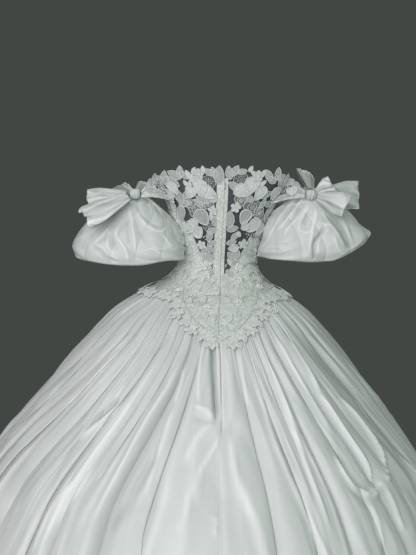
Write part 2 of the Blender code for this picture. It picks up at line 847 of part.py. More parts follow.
def gathered_edge(places, thickness):
    """The skirt's top edge, straight between the valleys that are sewn down."""
    low = np.floor(places + 1e-9)
    share = (places - low)[:, None]

    def at_valleys(out):
        ends = [fold_value("waist_angle", low), fold_value("waist_angle", low + 1)]
        start, end = (cloth(angle, seam_height(angle) - SEAM_GAP / 2, out) for angle in ends)
        return start * (1 - share) + end * share

    return at_valleys(0.0), at_valleys(-thickness)


def make_skirt():
    """Five gores of gathered taffeta, sewn together in valleys."""
    for name, first, last in GORES:
        places = [fold + step for fold in range(first, last) for step in STEPS_IN_FOLD] + [last]
        places = np.array(places, float)
        down = np.array(SKIRT_ROWS)[None, :]
        place = places[:, None] + 0 * down
        height = skirt_height(place, down)
        width = np.linalg.norm(
            skirt_cloth(place[[0, -1]] + 0.1, height[[0, -1]])
            - skirt_cloth(place[[0, -1]] - 0.1, height[[0, -1]]), axis=-1) / 0.2
        place[0] += SEAM_GAP / 2 / width[0]
        place[-1] -= SEAM_GAP / 2 / width[-1]
        outer = skirt_cloth(place, height)
        inner = behind(outer, TAFFETA)
        outer[:, 0], inner[:, 0] = gathered_edge(place[:, 0], TAFFETA)
        inner[:, -1, 2] = HEM
        wall(name, outer, inner, "taffeta")


# ---------------------------------------------------------------- sleeves

# Rings of a balloon sleeve from the armhole, out over the fullness, turned in
# at the bottom and up to the cuff inside. Tilt is how far a ring rises
# towards the shoulder for each metre outwards.
SLEEVE_COLUMNS = ("height", "tilt", "centre_x", "centre_y", "half_x", "half_y", "fold")
SLEEVE = (
    (0.158, 0.80, 0.178, -0.002, 0.049, 0.058, 0.0020),
    (0.138, 0.52, 0.190, -0.010, 0.080, 0.084, 0.0085),
    (0.106, 0.32, 0.212, -0.014, 0.113, 0.107, 0.0130),
    (0.070, 0.15, 0.233, -0.017, 0.140, 0.125, 0.0160),
    (0.035, 0.04, 0.244, -0.018, 0.152, 0.132, 0.0170),
    (0.009, 0.00, 0.245, -0.018, 0.149, 0.129, 0.0155),
    (-0.003, 0.00, 0.242, -0.014, 0.130, 0.111, 0.0105),
    (0.010, 0.00, 0.231, -0.004, 0.076, 0.069, 0.0040),
    (0.048, 0.00, 0.224, 0.000, 0.047, 0.050, 0.0020),
)
SLEEVE_FOLDS = 13
SLEEVE_SQUARE = 0.14     # how square a ring is between its back and its sides
# For each side: which way x runs, how much higher and wider the sleeve is
# held, how far it reaches towards the body, its extra tilt, how far its outer
# corner is drawn up, and where its folds start.
ARM_COLUMNS = ("sign", "lift", "wide", "inner", "tilt", "rise", "turned")
ARM_ROWS = {
    "left": (-1, 0.000, 1.00, 1.00, 0.00, 0.012, 6.0),
    "right": (1, 0.024, 1.07, 0.90, 0.06, 0.046, -9.0),
}
ARM_SIDE = {side: dict(zip(ARM_COLUMNS, row)) for side, row in ARM_ROWS.items()}
RISE_FROM = 0.045        # how far out from the sleeve's middle its corner starts to rise
RISE_OVER = 0.110
RISE_BELOW = 0.070       # and the height below which it does
CUFF_FROM = 6.5          # row of the table at which the sleeve is sewn to its cuff
CLEAR_OF_BODICE = 0.0055


def clear_of_bodice(points):
    """Moves points out until they stand clear of the bodice and skirt."""
    height = points[..., 2]
    half_width = girth("half_width", height) + CLEAR_OF_BODICE
    depth = np.where(points[..., 1] < 0, girth("back", height), girth("front", height)) + CLEAR_OF_BODICE
    sine = points[..., 0] / half_width
    squared = 1 + girth("square", height) * np.clip(sine, -1, 1) ** 2
    reach = np.sqrt(sine ** 2 + (points[..., 1] / (depth * squared)) ** 2)
    grow = np.maximum(1.0, 1.0 / np.maximum(reach, 0.2))
    moved = points.copy()
    moved[..., 0] *= grow
    moved[..., 1] *= grow
    return moved


def sleeve_point(side, ring_angle, step, out=0.0):
    """A point of a sleeve: angle 0 is its back, 90 its outer side."""
    arm = ARM_SIDE[side]
    at = columns(SLEEVE, SLEEVE_COLUMNS)
    keys = np.arange(len(SLEEVE), dtype=float)
    row = {name: smooth(keys, at[name], step) for name in SLEEVE_COLUMNS}
    turn = np.radians(ring_angle)
    sine, cosine = np.sin(turn), np.cos(turn)
    square = SLEEVE_SQUARE * np.sin(2 * turn) ** 2
    phase = SLEEVE_FOLDS / 2 * (turn + np.radians(arm["turned"])) + 0.5 * np.sin(2 * turn)
    folds = np.abs(np.sin(phase)) ** FOLD_ROUNDNESS
    depth = (1 + 0.35 * np.sin(3 * turn + 1.0)) * row["fold"]
    reach = 1 + square - (1 - folds) * depth / row["half_x"] + out / row["half_x"]
    outward = row["half_x"] * arm["wide"] * sine * reach * np.where(sine < 0, arm["inner"], 1.0)
    x = row["centre_x"] * (1 + 0.5 * (arm["wide"] - 1)) + outward
    y = row["centre_y"] - row["half_y"] * cosine * reach
    fullness = np.clip((0.17 - row["height"]) / 0.15, 0, 1)
    corner = np.clip((outward - RISE_FROM) / RISE_OVER, 0, None) ** 1.3
    rise = arm["rise"] * corner * np.clip((RISE_BELOW - row["height"]) / RISE_BELOW, 0, 1)
    z = row["height"] + arm["lift"] + (row["tilt"] + arm["tilt"] * fullness) * outward + rise
    points = np.stack([x, y, z], axis=-1)
    return clear_of_bodice(points) * np.array([arm["sign"], 1.0, 1.0])


def cut_back(grid, row, towards):
    """Draws one row of a wall's points back from its seam."""
    cut = grid.copy()
    cut[:, row] += unit(grid[:, towards] - grid[:, row]) * SEAM_GAP / 2
    return cut


def make_sleeves():
    """Each side's sleeve, and the cuff that it is gathered onto."""
    rows = np.sort(np.append(np.arange(len(SLEEVE)), CUFF_FROM))
    seam = int(np.searchsorted(rows, CUFF_FROM))
    count = SLEEVE_FOLDS * 3
    for side in ARM_SIDE:
        ring_angle = (np.arange(count) * 360.0 / count)[:, None]
        ring_angle, step = np.broadcast_arrays(ring_angle, rows[None, :])
        points = sleeve_point(side, ring_angle, step)
        if side == "left":
            points = points[::-1]
        inner = behind(points, TAFFETA, True)
        sleeve = [cut_back(grid[:, :seam + 1], -1, -2) for grid in (points, inner)]
        cuff = [cut_back(grid[:, seam:], 0, 1) for grid in (points, inner)]
        wall("sleeve_" + side, *sleeve, "taffeta", closed=True)
        wall("cuff_" + side, *cuff, "taffeta", closed=True)


# ---------------------------------------------------------------- bows

# Each bow's knot, and its loops: where the loop's far end is, how wide the
# ribbon is there, how full the loop stands, and which way the ribbon's width
# runs. Millimetres; x grows away from the centre plane.
KNOT = {"left": (238, -90, 187), "right": (238, -99, 200)}
KNOT_SIZE = (15, 13, 17)
LOOP_COLUMNS = ("name", "end", "width", "fullness", "across")
LOOPS = {
    "left": (
        ("outer", (362, -84, 168), 52, 10, (0.02, 0.12, 1.0)),
        ("lower", (363, -172, 121), 62, 12, (0.65, 0.38, 0.66)),
        ("front", (209, -2, 214), 34, 8, (1.0, 0.3, 0.2)),
        ("top", (284, 12, 202), 42, 8, (1.0, 0.3, -0.3)),
    ),
    "right": (
        ("outer", (370, -100, 203), 76, 8, (0.02, 0.12, 1.0)),
        ("lower", (315, -178, 176), 60, 7, (0.10, 0.10, 1.0)),
        ("wrap", (281, -124, 231), 44, 7, (0.85, 0.0, -0.5)),
        ("front", (242, 18, 261), 48, 9, (1.0, 0.1, -0.3)),
    ),
}
LOOP_STEPS = 10
RIBBON_STEPS = 3
KNOT_END = 0.32          # ribbon width at the knot as a share of its full width


def make_knot(side, sign):
    """The ribbon wrapped round the bow's middle, a soft lump."""
    centre = np.array(KNOT[side]) / 1000.0 * (sign, 1, 1)
    size = np.array(KNOT_SIZE) / 1000.0
    rounds, rows = 10, 5
    points, faces = [], []
    for row in range(1, rows):
        lean = math.pi * row / rows
        for i in range(rounds):
            turn = 2 * math.pi * i / rounds
            ring = math.sin(lean) ** 0.6
            way = np.array([ring * math.cos(turn), ring * math.sin(turn), math.cos(lean)])
            points.append(centre + way * size)
    points.append(centre + (0, 0, size[2]))
    points.append(centre - (0, 0, size[2]))
    top, foot = len(points) - 2, len(points) - 1
    for row in range(rows - 2):
        for i in range(rounds):
            j = (i + 1) % rounds
            a, b = row * rounds, (row + 1) * rounds
            faces.append((a + i, b + i, b + j, a + j))
    for i in range(rounds):
        j = (i + 1) % rounds
        faces.append((top, i, j))
        faces.append((foot, (rows - 2) * rounds + j, (rows - 2) * rounds + i))
    add_piece("bow_knot_" + side, points, faces, "taffeta")


def loop_point(side, sign, loop, turn, across, out=0.0):
    """A point of a bow loop: turn runs 0 to 1 out and back, across -1 to 1."""
    flip = np.array([sign, 1, 1])
    knot = np.array(KNOT[side]) / 1000.0 * flip
    end = np.array(loop["end"]) / 1000.0 * flip
    length = np.linalg.norm(end - knot)
    away = (end - knot) / length
    ribbon = np.array(loop["across"]) * flip
    ribbon = unit(ribbon - away * np.dot(ribbon, away))
    thick = np.cross(away, ribbon)
    theta = np.radians(22.0 + 316.0 * np.asarray(turn, float))
    start = np.linalg.norm(np.array(KNOT_SIZE)) / 1000.0 * 0.62
    share = (1 - np.cos(theta)) / 2
    far = start + (length - start) * share ** 0.9
    width = loop["width"] / 2000.0 * (KNOT_END + (1 - KNOT_END) * np.clip(share * 1.5, 0, 1) ** 0.8)
    pleat = 0.0022 * np.cos(1.5 * math.pi * across) * (1 - share) * np.sign(np.sin(theta))
    stand = loop["fullness"] / 1000.0 * np.sin(theta) * (0.45 + 0.55 * share ** 0.4) + pleat
    return (knot + away * far[..., None] + ribbon * (width * across)[..., None]
            + thick * (stand + out)[..., None])


def make_bows():
    """Double bows on the sleeves' gathers: a knot and four loops each."""
    for side, rows in LOOPS.items():
        sign = ARM_SIDE[side]["sign"]
        make_knot(side, sign)
        for row in rows:
            loop = dict(zip(LOOP_COLUMNS, row))
            turn = np.linspace(0, 1, LOOP_STEPS + 1)[:, None]
            across = np.linspace(-1, 1, RIBBON_STEPS + 1)[None, :]
            turn, across = np.broadcast_arrays(turn, across)
            outer = loop_point(side, sign, loop, turn, across)
            wall(f"bow_{side}_{loop['name']}", outer, behind(outer, TAFFETA * 0.8), "taffeta")


# ---------------------------------------------------------------- bands

# The satin band from each side of the yoke to the bow, over the sleeve's
# head: where its top and bottom edges leave the yoke, as angle and height.
BAND_AT_YOKE = ((66.0, 0.232), (60.0, 0.172))
BAND_OUT = 0.0058        # its face there, clear of the lace
BAND_AT_KNOT = 0.018     # its width at the knot
BAND_FROM_KNOT = 0.0175  # and how far from the knot's middle it ends
BAND_ARCH = (0.0, -0.007, 0.004)
BAND_STEPS = 6
BAND_ROWS = 4


def band_point(side, along, down, out=0.0):
    """A point of a band: along runs from the yoke to the knot, down from its
    top edge to its bottom edge."""
    (top_angle, top_height), (foot_angle, foot_height) = BAND_AT_YOKE
    angle = top_angle + (foot_angle - top_angle) * down
    height = top_height + (foot_height - top_height) * down
    at_yoke = cloth(angle, height, BAND_OUT)
    knot = np.array(KNOT[side]) / 1000.0
    middle = knot - (BAND_FROM_KNOT, 0.0, 0.0)
    at_knot = middle + np.stack([0 * down, 0 * down, BAND_AT_KNOT * (0.5 - down)], axis=-1)
    arch = np.sin(np.pi * along)[..., None] * np.array(BAND_ARCH)
    share = along[..., None]
    return (at_yoke + (at_knot - at_yoke) * share + arch) * np.array([ARM_SIDE[side]["sign"], 1.0, 1.0])


def make_bands():
    for side in ARM_SIDE:
        along = np.linspace(0, 1, BAND_STEPS + 1)[:, None]
        down = np.linspace(0, 1, BAND_ROWS + 1)[None, :]
        along, down = np.broadcast_arrays(along, down)
        points = band_point(side, along, down)
        if side == "left":
            points = points[::-1]
        wall("shoulder_band_" + side, points, behind(points, SATIN), "satin")


def main():
    for old in list(bpy.data.objects):
        bpy.data.objects.remove(old)
    make_bodice()
    make_yoke_net()
    make_placket()
    make_skirt()
    make_yoke_lace()
    make_hip_lace()
    make_sleeves()
    make_bows()
    make_bands()


main()
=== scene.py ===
"""Wedding dress: the cloth, lace and beads of an off-the-shoulder ball gown.

Every shell lies on the gown's own form, in metres, +Z up, with the origin at
the middle of the waist, -Y the gown's back and +X the wearer's right. Angles
run round the gown in degrees from the centre back (0) through the wearer's
right side (90) to the centre front (180).
"""

import math

import bpy
import numpy as np
from mathutils import Matrix


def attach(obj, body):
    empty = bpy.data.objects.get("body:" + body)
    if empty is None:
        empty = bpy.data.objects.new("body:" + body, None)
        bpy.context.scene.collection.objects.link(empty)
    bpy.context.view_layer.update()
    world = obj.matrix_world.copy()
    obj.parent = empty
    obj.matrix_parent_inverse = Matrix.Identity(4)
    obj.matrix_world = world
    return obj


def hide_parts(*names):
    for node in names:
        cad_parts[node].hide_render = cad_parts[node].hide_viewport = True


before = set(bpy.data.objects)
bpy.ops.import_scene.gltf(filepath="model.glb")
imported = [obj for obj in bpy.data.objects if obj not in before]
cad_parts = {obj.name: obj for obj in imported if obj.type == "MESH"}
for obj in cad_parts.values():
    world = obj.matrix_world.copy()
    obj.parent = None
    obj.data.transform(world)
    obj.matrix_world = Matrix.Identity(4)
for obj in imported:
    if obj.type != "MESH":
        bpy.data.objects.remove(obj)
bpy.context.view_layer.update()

# ---------------- driving sizes

MM = 0.001
HEM = -1.080
FLOOR = -1.085
WAIST_SIDE = -0.068      # basque seam at the side seams
BACK_POINT = 0.104       # drop of the basque at the centre back
FRONT_POINT = 0.072      # and at the centre front
SWAY = -0.008            # the skirt hangs this far to the left
YOKE_END = 85.0          # angle at which the yoke ends on the shoulder
SEWN_DOWN = 0.030        # the gathers open out over this far below the seam
TAFFETA_THICK = 0.0008
SATIN_THICK = 0.0016
NET_THICK = 0.0005

# The gown's girths in metres: half its width, its depth behind and before the
# middle, and how far its corners are squared.
GIRTH_COLUMNS = ("height", "half_width", "back", "front", "square")
GIRTH = (
    (-1.080, 0.859, 0.880, 0.695, 0.00),
    (-1.000, 0.837, 0.850, 0.675, 0.00),
    (-0.850, 0.782, 0.780, 0.625, 0.00),
    (-0.700, 0.708, 0.690, 0.560, 0.00),
    (-0.533, 0.606, 0.575, 0.475, 0.00),
    (-0.380, 0.485, 0.447, 0.385, 0.00),
    (-0.290, 0.416, 0.375, 0.335, 0.00),
    (-0.185, 0.324, 0.282, 0.262, 0.00),
    (-0.134, 0.272, 0.225, 0.215, 0.00),
    (-0.085, 0.197, 0.158, 0.155, 0.00),
    (-0.060, 0.150, 0.122, 0.124, 0.01),
    (-0.030, 0.121, 0.094, 0.103, 0.03),
    (0.000, 0.1115, 0.084, 0.094, 0.05),
    (0.040, 0.116, 0.088, 0.103, 0.08),
    (0.080, 0.127, 0.096, 0.121, 0.12),
    (0.120, 0.138, 0.104, 0.136, 0.18),
    (0.160, 0.149, 0.110, 0.141, 0.22),
    (0.200, 0.174, 0.113, 0.131, 0.26),
    (0.230, 0.195, 0.108, 0.118, 0.28),
    (0.270, 0.203, 0.098, 0.106, 0.28),
)

# The upper edge of the bodice's satin, from the centre back round either side.
SATIN_EDGE_COLUMNS = ("angle", "height")
SATIN_EDGE = (
    (0.0, -0.034), (10.0, -0.017), (21.0, 0.006), (32.0, 0.041),
    (38.5, 0.078), (51.0, 0.126), (66.0, 0.162), (80.0, 0.184),
    (90.0, 0.187), (104.0, 0.191), (122.0, 0.194), (150.0, 0.188),
    (180.0, 0.176),
)

# Valleys between the skirt's folds: waist and hem angles, depth beside the
# others, the height at which each dies out, and which way it is lapped.
FOLD_COLUMNS = ("waist_angle", "hem_angle", "depth", "foot", "lap")
BACK_FOLDS = (
    (-90.0, -108.0, 0.8, HEM, 1), (-78.0, -98.5, 0.7, HEM, 1), (-67.0, -89.5, 1.2, HEM, 1),
    (-59.0, -82.5, 0.5, -0.60, 1), (-51.0, -76.0, 1.1, HEM, 1), (-44.0, -66.0, 0.6, HEM, -1),
    (-38.0, -56.5, 1.2, HEM, 1), (-33.0, -48.5, 0.8, -0.46, 1), (-27.5, -44.0, 0.6, HEM, -1),
    (-22.5, -39.0, 1.1, HEM, 1), (-18.0, -34.0, 0.5, -0.50, -1), (-13.5, -28.5, 1.5, HEM, 1),
    (-8.8, -17.5, 0.9, -0.62, -1), (-1.6, -2.5, 1.4, -0.40, 1), (5.5, 10.5, 0.9, HEM, -1),
    (10.5, 18.0, 0.7, HEM, 1), (15.0, 22.5, 0.5, -0.45, 1), (20.0, 27.0, 1.4, HEM, -1),
    (24.5, 34.5, 0.6, HEM, 1), (29.0, 42.5, 1.1, HEM, -1), (35.5, 51.5, 0.6, -0.60, -1),
    (42.5, 60.5, 1.5, HEM, -1), (50.0, 66.5, 0.6, HEM, -1), (58.0, 72.0, 1.0, HEM, -1),
    (67.0, 78.0, 0.8, HEM, 1), (77.0, 86.5, 1.0, HEM, -1), (90.0, 98.0, 0.8, HEM, -1),
)
FRONT_FOLDS = 16         # and the front's, spaced and sunk unevenly by turns
UNEVEN_SPACING = (0.0, 1.3, -0.8, 0.9, -1.4, 0.4)
UNEVEN_DEPTH = (1.1, 0.6, 1.3, 0.8, 0.5, 1.2, 0.7)

# Depth of the skirt's folds in metres, which die out towards the waist.
DEPTH_COLUMNS = ("height", "depth")
FOLD_DEPTH = (
    (-1.080, 0.034), (-0.800, 0.031), (-0.550, 0.025), (-0.380, 0.0195),
    (-0.260, 0.0145), (-0.180, 0.010), (-0.120, 0.0065), (-0.060, 0.003),
)

# ---------------- small maths


def columns(table, names):
    """A table's columns by name, as arrays."""
    return {name: np.array([row[i] for row in table]) for i, name in enumerate(names)}


def named(table, names):
    """A table's rows, each with its values by name."""
    return [dict(zip(names, row)) for row in table]


def smooth(keys, values, at):
    """Reads the smooth curve through (keys, values)."""
    slopes = np.gradient(values, keys)
    at = np.clip(at, keys[0], keys[-1])
    i = np.clip(np.searchsorted(keys, at, side="right") - 1, 0, len(keys) - 2)
    span = keys[i + 1] - keys[i]
    t = (at - keys[i]) / span
    start = (1 + 2 * t) * (1 - t) ** 2 * values[i] + t * (1 - t) ** 2 * span * slopes[i]
    end = t * t * (3 - 2 * t) * values[i + 1] + t * t * (t - 1) * span * slopes[i + 1]
    return start + end


def ease(t):
    """0 to 1 with level ends."""
    t = np.clip(t, 0.0, 1.0)
    return t * t * (3 - 2 * t)


def window(x, start, rise, end, fall):
    """1 between start and end with soft edges; rise and fall are their widths."""
    return ease((x - start) / rise) * (1 - ease((x - end) / fall))


def grid_of(first, second):
    """Every pair of two rows of values, as two arrays."""
    return np.meshgrid(first, second, indexing="ij")


def unit(vectors):
    return vectors / np.maximum(np.linalg.norm(vectors, axis=-1, keepdims=True), 1e-12)


LATTICE = 64             # cells after which noise repeats


def lattice_at(u, v, seed, cells):
    """Where each (u, v) lies between the four nearest points of a lattice, and
    the lattice's random values there."""
    lattice = np.random.default_rng(seed).uniform(-1, 1, (cells, LATTICE))
    i, j = np.floor(u).astype(int), np.floor(v).astype(int)
    s, t = u - i, v - j
    i, j, far_i, far_j = i % cells, j % LATTICE, (i + 1) % cells, (j + 1) % LATTICE
    return s, t, lattice[i, j], lattice[far_i, j], lattice[i, far_j], lattice[far_i, far_j]


def noise(u, v, seed, cells=LATTICE):
    """Smooth noise from -1 to 1, which repeats after a number of cells along u."""
    u, v = np.broadcast_arrays(np.asarray(u, float), np.asarray(v, float))
    s, t, corner, right, below, opposite = lattice_at(u, v, seed, cells)
    s, t = ease(s), ease(t)
    return (corner * (1 - s) + right * s) * (1 - t) + (below * (1 - s) + opposite * s) * t


def crease_lines(u, v, seed, width):
    """Thin wandering lines, 1 on a line and 0 away from it, as crisp cloth creases."""
    return np.exp(-(noise(u, v, seed) / width) ** 2)


def facets(u, v, seed, cells=LATTICE):
    """Noise from -1 to 1 made of flat three-sided facets, as in papery silk. It
    repeats after a number of cells along u."""
    u, v = np.broadcast_arrays(np.asarray(u, float), np.asarray(v, float))
    s, t, corner, right, below, opposite = lattice_at(u + 0.5 * v, v, seed, cells)
    first = corner * (1 - s - t) + right * s + below * t
    second = opposite * (s + t - 1) + right * (1 - t) + below * (1 - s)
    return np.where(s + t < 1, first, second)


# ---------------- the gown's form

GIRTH_AT = columns(GIRTH, GIRTH_COLUMNS)
EDGE_AT = columns(SATIN_EDGE, SATIN_EDGE_COLUMNS)
DEPTH_AT = columns(FOLD_DEPTH, DEPTH_COLUMNS)


def off_back(angle):
    """The angle from the centre back, 0 to 180, on either side."""
    return np.abs((np.asarray(angle, dtype=float) + 180.0) % 360.0 - 180.0)


def girth(name, height):
    return smooth(GIRTH_AT["height"], GIRTH_AT[name], height)


def form(angle, height):
    """A point of the gown's smooth outer form."""
    angle, height = np.broadcast_arrays(np.asarray(angle, float), np.asarray(height, float))
    turn = np.radians(angle)
    depth = np.where(np.cos(turn) > 0, girth("back", height), girth("front", height))
    squared = 1 + girth("square", height) * np.sin(turn) ** 2
    x = girth("half_width", height) * np.sin(turn) + SWAY * ease((-0.03 - height) / 0.10)
    y = -depth * np.cos(turn) * squared
    return np.stack([x, y, height], axis=-1)


def cloth_normal(angle, height):
    across = form(angle + 0.5, height) - form(angle - 0.5, height)
    down = form(angle, height - 0.002) - form(angle, height + 0.002)
    return unit(np.cross(down, across))


def cloth(angle, height, out=0.0):
    """A point at a distance out from the form, square to it."""
    angle, height = np.broadcast_arrays(np.asarray(angle, float), np.asarray(height, float))
    return form(angle, height) + cloth_normal(angle, height) * np.asarray(out, float)[..., None]


def seam_height(angle):
    """The basque seam, with a point at the centre back and centre front."""
    away = off_back(angle)
    back = np.clip(1 - away / 38.0, 0, 1) ** 1.1
    front = np.clip(1 - (180.0 - away) / 44.0, 0, 1) ** 1.1
    return WAIST_SIDE - BACK_POINT * back - FRONT_POINT * front


def satin_height(angle):
    """The bodice satin's upper edge."""
    return smooth(EDGE_AT["angle"], EDGE_AT["height"], off_back(angle))


def neck_height(angle):
    """The yoke's upper edge."""
    return 0.252 - 0.034 * (off_back(angle) / YOKE_END) ** 2


def closure_angle(height):
    """The centre back opening, which the skirt's weight draws to the left."""
    return -1.6 * ease((-0.045 - height) / 0.120)


def degrees_for(distance, height):
    """Angle that a short distance round the centre back takes up."""
    return np.degrees(distance / girth("half_width", height))


def round_speed(angle, height):
    """Metres round the gown for each degree."""
    return np.linalg.norm(form(angle + 0.5, height) - form(angle - 0.5, height), axis=-1)


def flare(angle, height):
    """Metres of cloth for each metre of height."""
    return np.linalg.norm(form(angle, height + 0.005) - form(angle, height - 0.005), axis=-1) / 0.010


# ---------------- materials


def linear(hex_colour):
    """An sRGB hex colour as linear red, green, blue and alpha."""
    parts = [int(hex_colour[i:i + 2], 16) / 255.0 for i in (1, 3, 5)]
    return tuple(c / 12.92 if c <= 0.04045 else ((c + 0.055) / 1.055) ** 2.4 for c in parts) + (1.0,)


def node(tree, kind, settings=None, **links):
    """Adds a shader node; settings sets its own values, and links its inputs by
    name or by number (i0, i1), each a value or another node's output."""
    made = tree.nodes.new(kind)
    for key, value in (settings or {}).items():
        setattr(made, key, value)
    for key, value in links.items():
        numbered = key[0] == "i" and key[1:].isdigit()
        socket = made.inputs[int(key[1:]) if numbered else key.replace("_", " ")]
        if isinstance(value, bpy.types.NodeSocket):
            tree.links.new(value, socket)
        else:
            socket.default_value = value
    return made


def new_material(name, **sockets):
    """A Principled material with plain values on the shader's own sockets."""
    material = bpy.data.materials.new(name)
    material.use_nodes = True
    for key, value in sockets.items():
        shader_of(material).inputs[key.replace("_", " ")].default_value = value
    return material, material.node_tree


def shader_of(material):
    return material.node_tree.nodes["Principled BSDF"]


def finished(material, colour, normal=None):
    """A material with its colour and its bumps joined to its shader."""
    inputs = shader_of(material).inputs
    material.node_tree.links.new(colour, inputs["Base Color"])
    if normal is not None:
        material.node_tree.links.new(normal, inputs["Normal"])
    return material


def object_place(tree):
    """Places on the object in metres, the same for every piece of the gown."""
    return node(tree, "ShaderNodeTexCoord").outputs["Object"]


def mottle(tree, size, detail, place=None, **links):
    """Soft noise with patches of a size in mm."""
    if place is None:
        place = object_place(tree)
    return node(tree, "ShaderNodeTexNoise", Vector=place, Scale=1000 / size, Detail=detail,
                **links).outputs[0]


def mesh_lines(tree, size, **links):
    """The distance to the nearest line of a mesh with holes of a size in mm."""
    return node(tree, "ShaderNodeTexVoronoi", {"feature": "DISTANCE_TO_EDGE"},
                Vector=object_place(tree), Scale=1000 / size, **links).outputs[0]


def raised(tree, strength, distance, height, settings=None, **links):
    """A bump of this strength, over a distance in metres."""
    return node(tree, "ShaderNodeBump", settings, Strength=strength, Distance=distance,
                Height=height, **links).outputs[0]


def between(tree, share, low, high, start=0.0, end=1.0):
    """A colour between two hex colours, as a share runs from start to end."""
    ramp = node(tree, "ShaderNodeValToRGB", i0=share)
    for element, colour, place in zip(ramp.color_ramp.elements, (low, high), (start, end)):
        element.color = linear(colour)
        element.position = place
    return ramp.outputs[0]


def mixed(tree, share, colour, other):
    """A colour mixed with a hex colour by a share."""
    return node(tree, "ShaderNodeMix", {"data_type": "RGBA"}, i0=share, i6=colour,
                i7=linear(other)).outputs[2]


RIB = 2.4                # taffeta's cross rib in mm; the real 0.4 mm rib is too fine to show
CRUMPLE = 26.0           # size in mm of the papery crumples in crisp silk
SLUB = 9.0               # length in mm of an uneven thread
SLUB_STRETCH = 0.35      # a thread runs on for longer down the cloth than across it


def silk_taffeta():
    """Woven silk taffeta: crisp, so it keeps small papery creases, and close
    and flat, so it has a soft sheen. Its colour carries painted light from each
    piece: a painted highlight along creases and a painted shade in its valleys."""
    material, tree = new_material("silk_taffeta", Roughness=0.40, Sheen_Weight=0.12, IOR=1.45,
                                  Sheen_Roughness=0.4)
    plain = between(tree, mottle(tree, 140.0, 2.0), "#d3d8d7", "#e0e4e3")
    # painted light per point: above 0 a painted highlight, below 0 a painted shade
    relief = node(tree, "ShaderNodeAttribute", {"attribute_name": "painted_light"}).outputs["Fac"]
    painted_highlight = node(tree, "ShaderNodeMapRange", Value=relief).outputs[0]
    valley = node(tree, "ShaderNodeMapRange", Value=relief, From_Min=0.0, From_Max=-1.0).outputs[0]
    # painted highlight towards near white on ridges, painted shade towards a dark green grey in valleys
    colour = mixed(tree, valley, mixed(tree, painted_highlight, plain, "#f5f8f8"), "#a3aea4")
    place = object_place(tree)
    stretched = node(tree, "ShaderNodeMapping", Vector=place, Scale=(1.0, 1.0, SLUB_STRETCH)).outputs[0]
    rib = node(tree, "ShaderNodeTexWave", {"bands_direction": "Z"}, Vector=place,
               Scale=1000 / RIB / 20.0 * math.pi, Distortion=1.5).outputs["Fac"]
    soft = raised(tree, 0.42, 0.0020, mottle(tree, CRUMPLE, 3.0))
    fine = raised(tree, 0.18, 0.0004, mottle(tree, SLUB, 2.0, stretched), Normal=soft)
    return finished(material, colour, raised(tree, 0.05, 0.0003, rib, Normal=fine))


LACE_CELL = 13.0         # mesh in mm of the allover lace on the satin
LACE_CURL = 15.0         # and the size in mm of its curling sprays


def duchess_satin():
    """Heavy satin under a close allover lace: the lace's cords raise the
    surface and break up the satin's gloss."""
    material, tree = new_material("lace_covered_satin", Roughness=0.46, Sheen_Weight=0.15, IOR=1.45)
    curls = mottle(tree, LACE_CURL, 2.0, Distortion=2.6)
    colour = between(tree, curls, "#c0c9c2", "#e8ece9", 0.36, 0.62)
    cord = raised(tree, 0.20, 0.0010, mesh_lines(tree, LACE_CELL), {"invert": True})
    return finished(material, colour, raised(tree, 0.50, 0.0026, curls, Normal=cord))


NET_MESH = 2.6           # hole of the net in mm, drawn coarser than the real 1.2 mm so that it shows


def net_painted_shade():
    """Fine net, nearly opaque and dark slate: the slate is painted shade, standing in for
    the shaded inside seen through a pale net. Its holes are too small to see one by one,
    so it reads as a flat veil with a faint mesh."""
    material, tree = new_material("net_painted_shade", Roughness=0.80, Alpha=0.90)
    mesh = mesh_lines(tree, NET_MESH, Randomness=0.25)
    return finished(material, between(tree, mesh, "#5b6266", "#3a4043", 0.0, 0.35))


STITCHES = 3.2           # patches in mm of the satin stitches that fill a leaf
TWIST = 1.5              # twist of a rayon cord in mm
NACRE = 8.0              # size in mm of the tones in a pearl's coat
COIL = 5.0               # and of those in the dyed nylon


def embroidered_net(name, low, high, alpha, patch=STITCHES):
    """Machine-embroidered net: rows of stitches with net showing between them,
    so it is a little see-through and duller than the cords round it, in patches
    of this many mm."""
    material, tree = new_material(name, Roughness=0.62, Sheen_Weight=0.2, Alpha=alpha)
    stitches = mottle(tree, patch, 2.0)
    colour = between(tree, stitches, low, high, 0.3, 0.7)
    return finished(material, colour, raised(tree, 0.4, 0.0004, stitches))


def rayon_cord(name, low, high):
    """Twisted rayon cord, couched along each motif's edge: white and bright."""
    material, tree = new_material(name, Roughness=0.42, Sheen_Weight=0.2)
    twist = mottle(tree, TWIST, 0.0)
    return finished(material, between(tree, twist, low, high), raised(tree, 0.3, 0.0003, twist))


def pearl_bead():
    """Small glass pearls with a nacre coat: a bright point on a soft body."""
    material, tree = new_material("pearl_bead", Roughness=0.22, Coat_Weight=0.6, IOR=1.55,
                                  Coat_Roughness=0.08)
    return finished(material, between(tree, mottle(tree, NACRE, 0.0), "#e6e8e5", "#ffffff"))


def zip_nylon():
    """Moulded nylon zip coil dyed to the gown: smooth, with a slight gloss."""
    material, tree = new_material("zip_nylon", Roughness=0.35, IOR=1.53)
    return finished(material, between(tree, mottle(tree, COIL, 2.0), "#a9b0aa", "#c3cac4"))


MATERIALS = {
    "taffeta": silk_taffeta(),
    "satin": duchess_satin(),
    # the net's dark slate is painted shade
    "net": net_painted_shade(),
    "leaf": embroidered_net("embroidered_net", "#aab0af", "#b9bfbe", 0.92),
    "petal": embroidered_net("padded_petal", "#c4cbca", "#e9eded", 1.0, 4.2),
    "sheer": embroidered_net("sheer_flower", "#7c8285", "#8d9395", 0.80),
    "dark": embroidered_net("beaded_heart", "#5c6265", "#6f7578", 0.85),
    "overlay": embroidered_net("lace_on_satin", "#c6cec7", "#ecf0ed", 1.0, 5.5),
    "cord": rayon_cord("rayon_cord", "#cfd5d3", "#eceeed"),
    "overlay_cord": rayon_cord("matched_cord", "#dbe1dc", "#f0f3f1"),
    "pearl": pearl_bead(),
    "zip": zip_nylon(),
}


# ---------------- making pieces


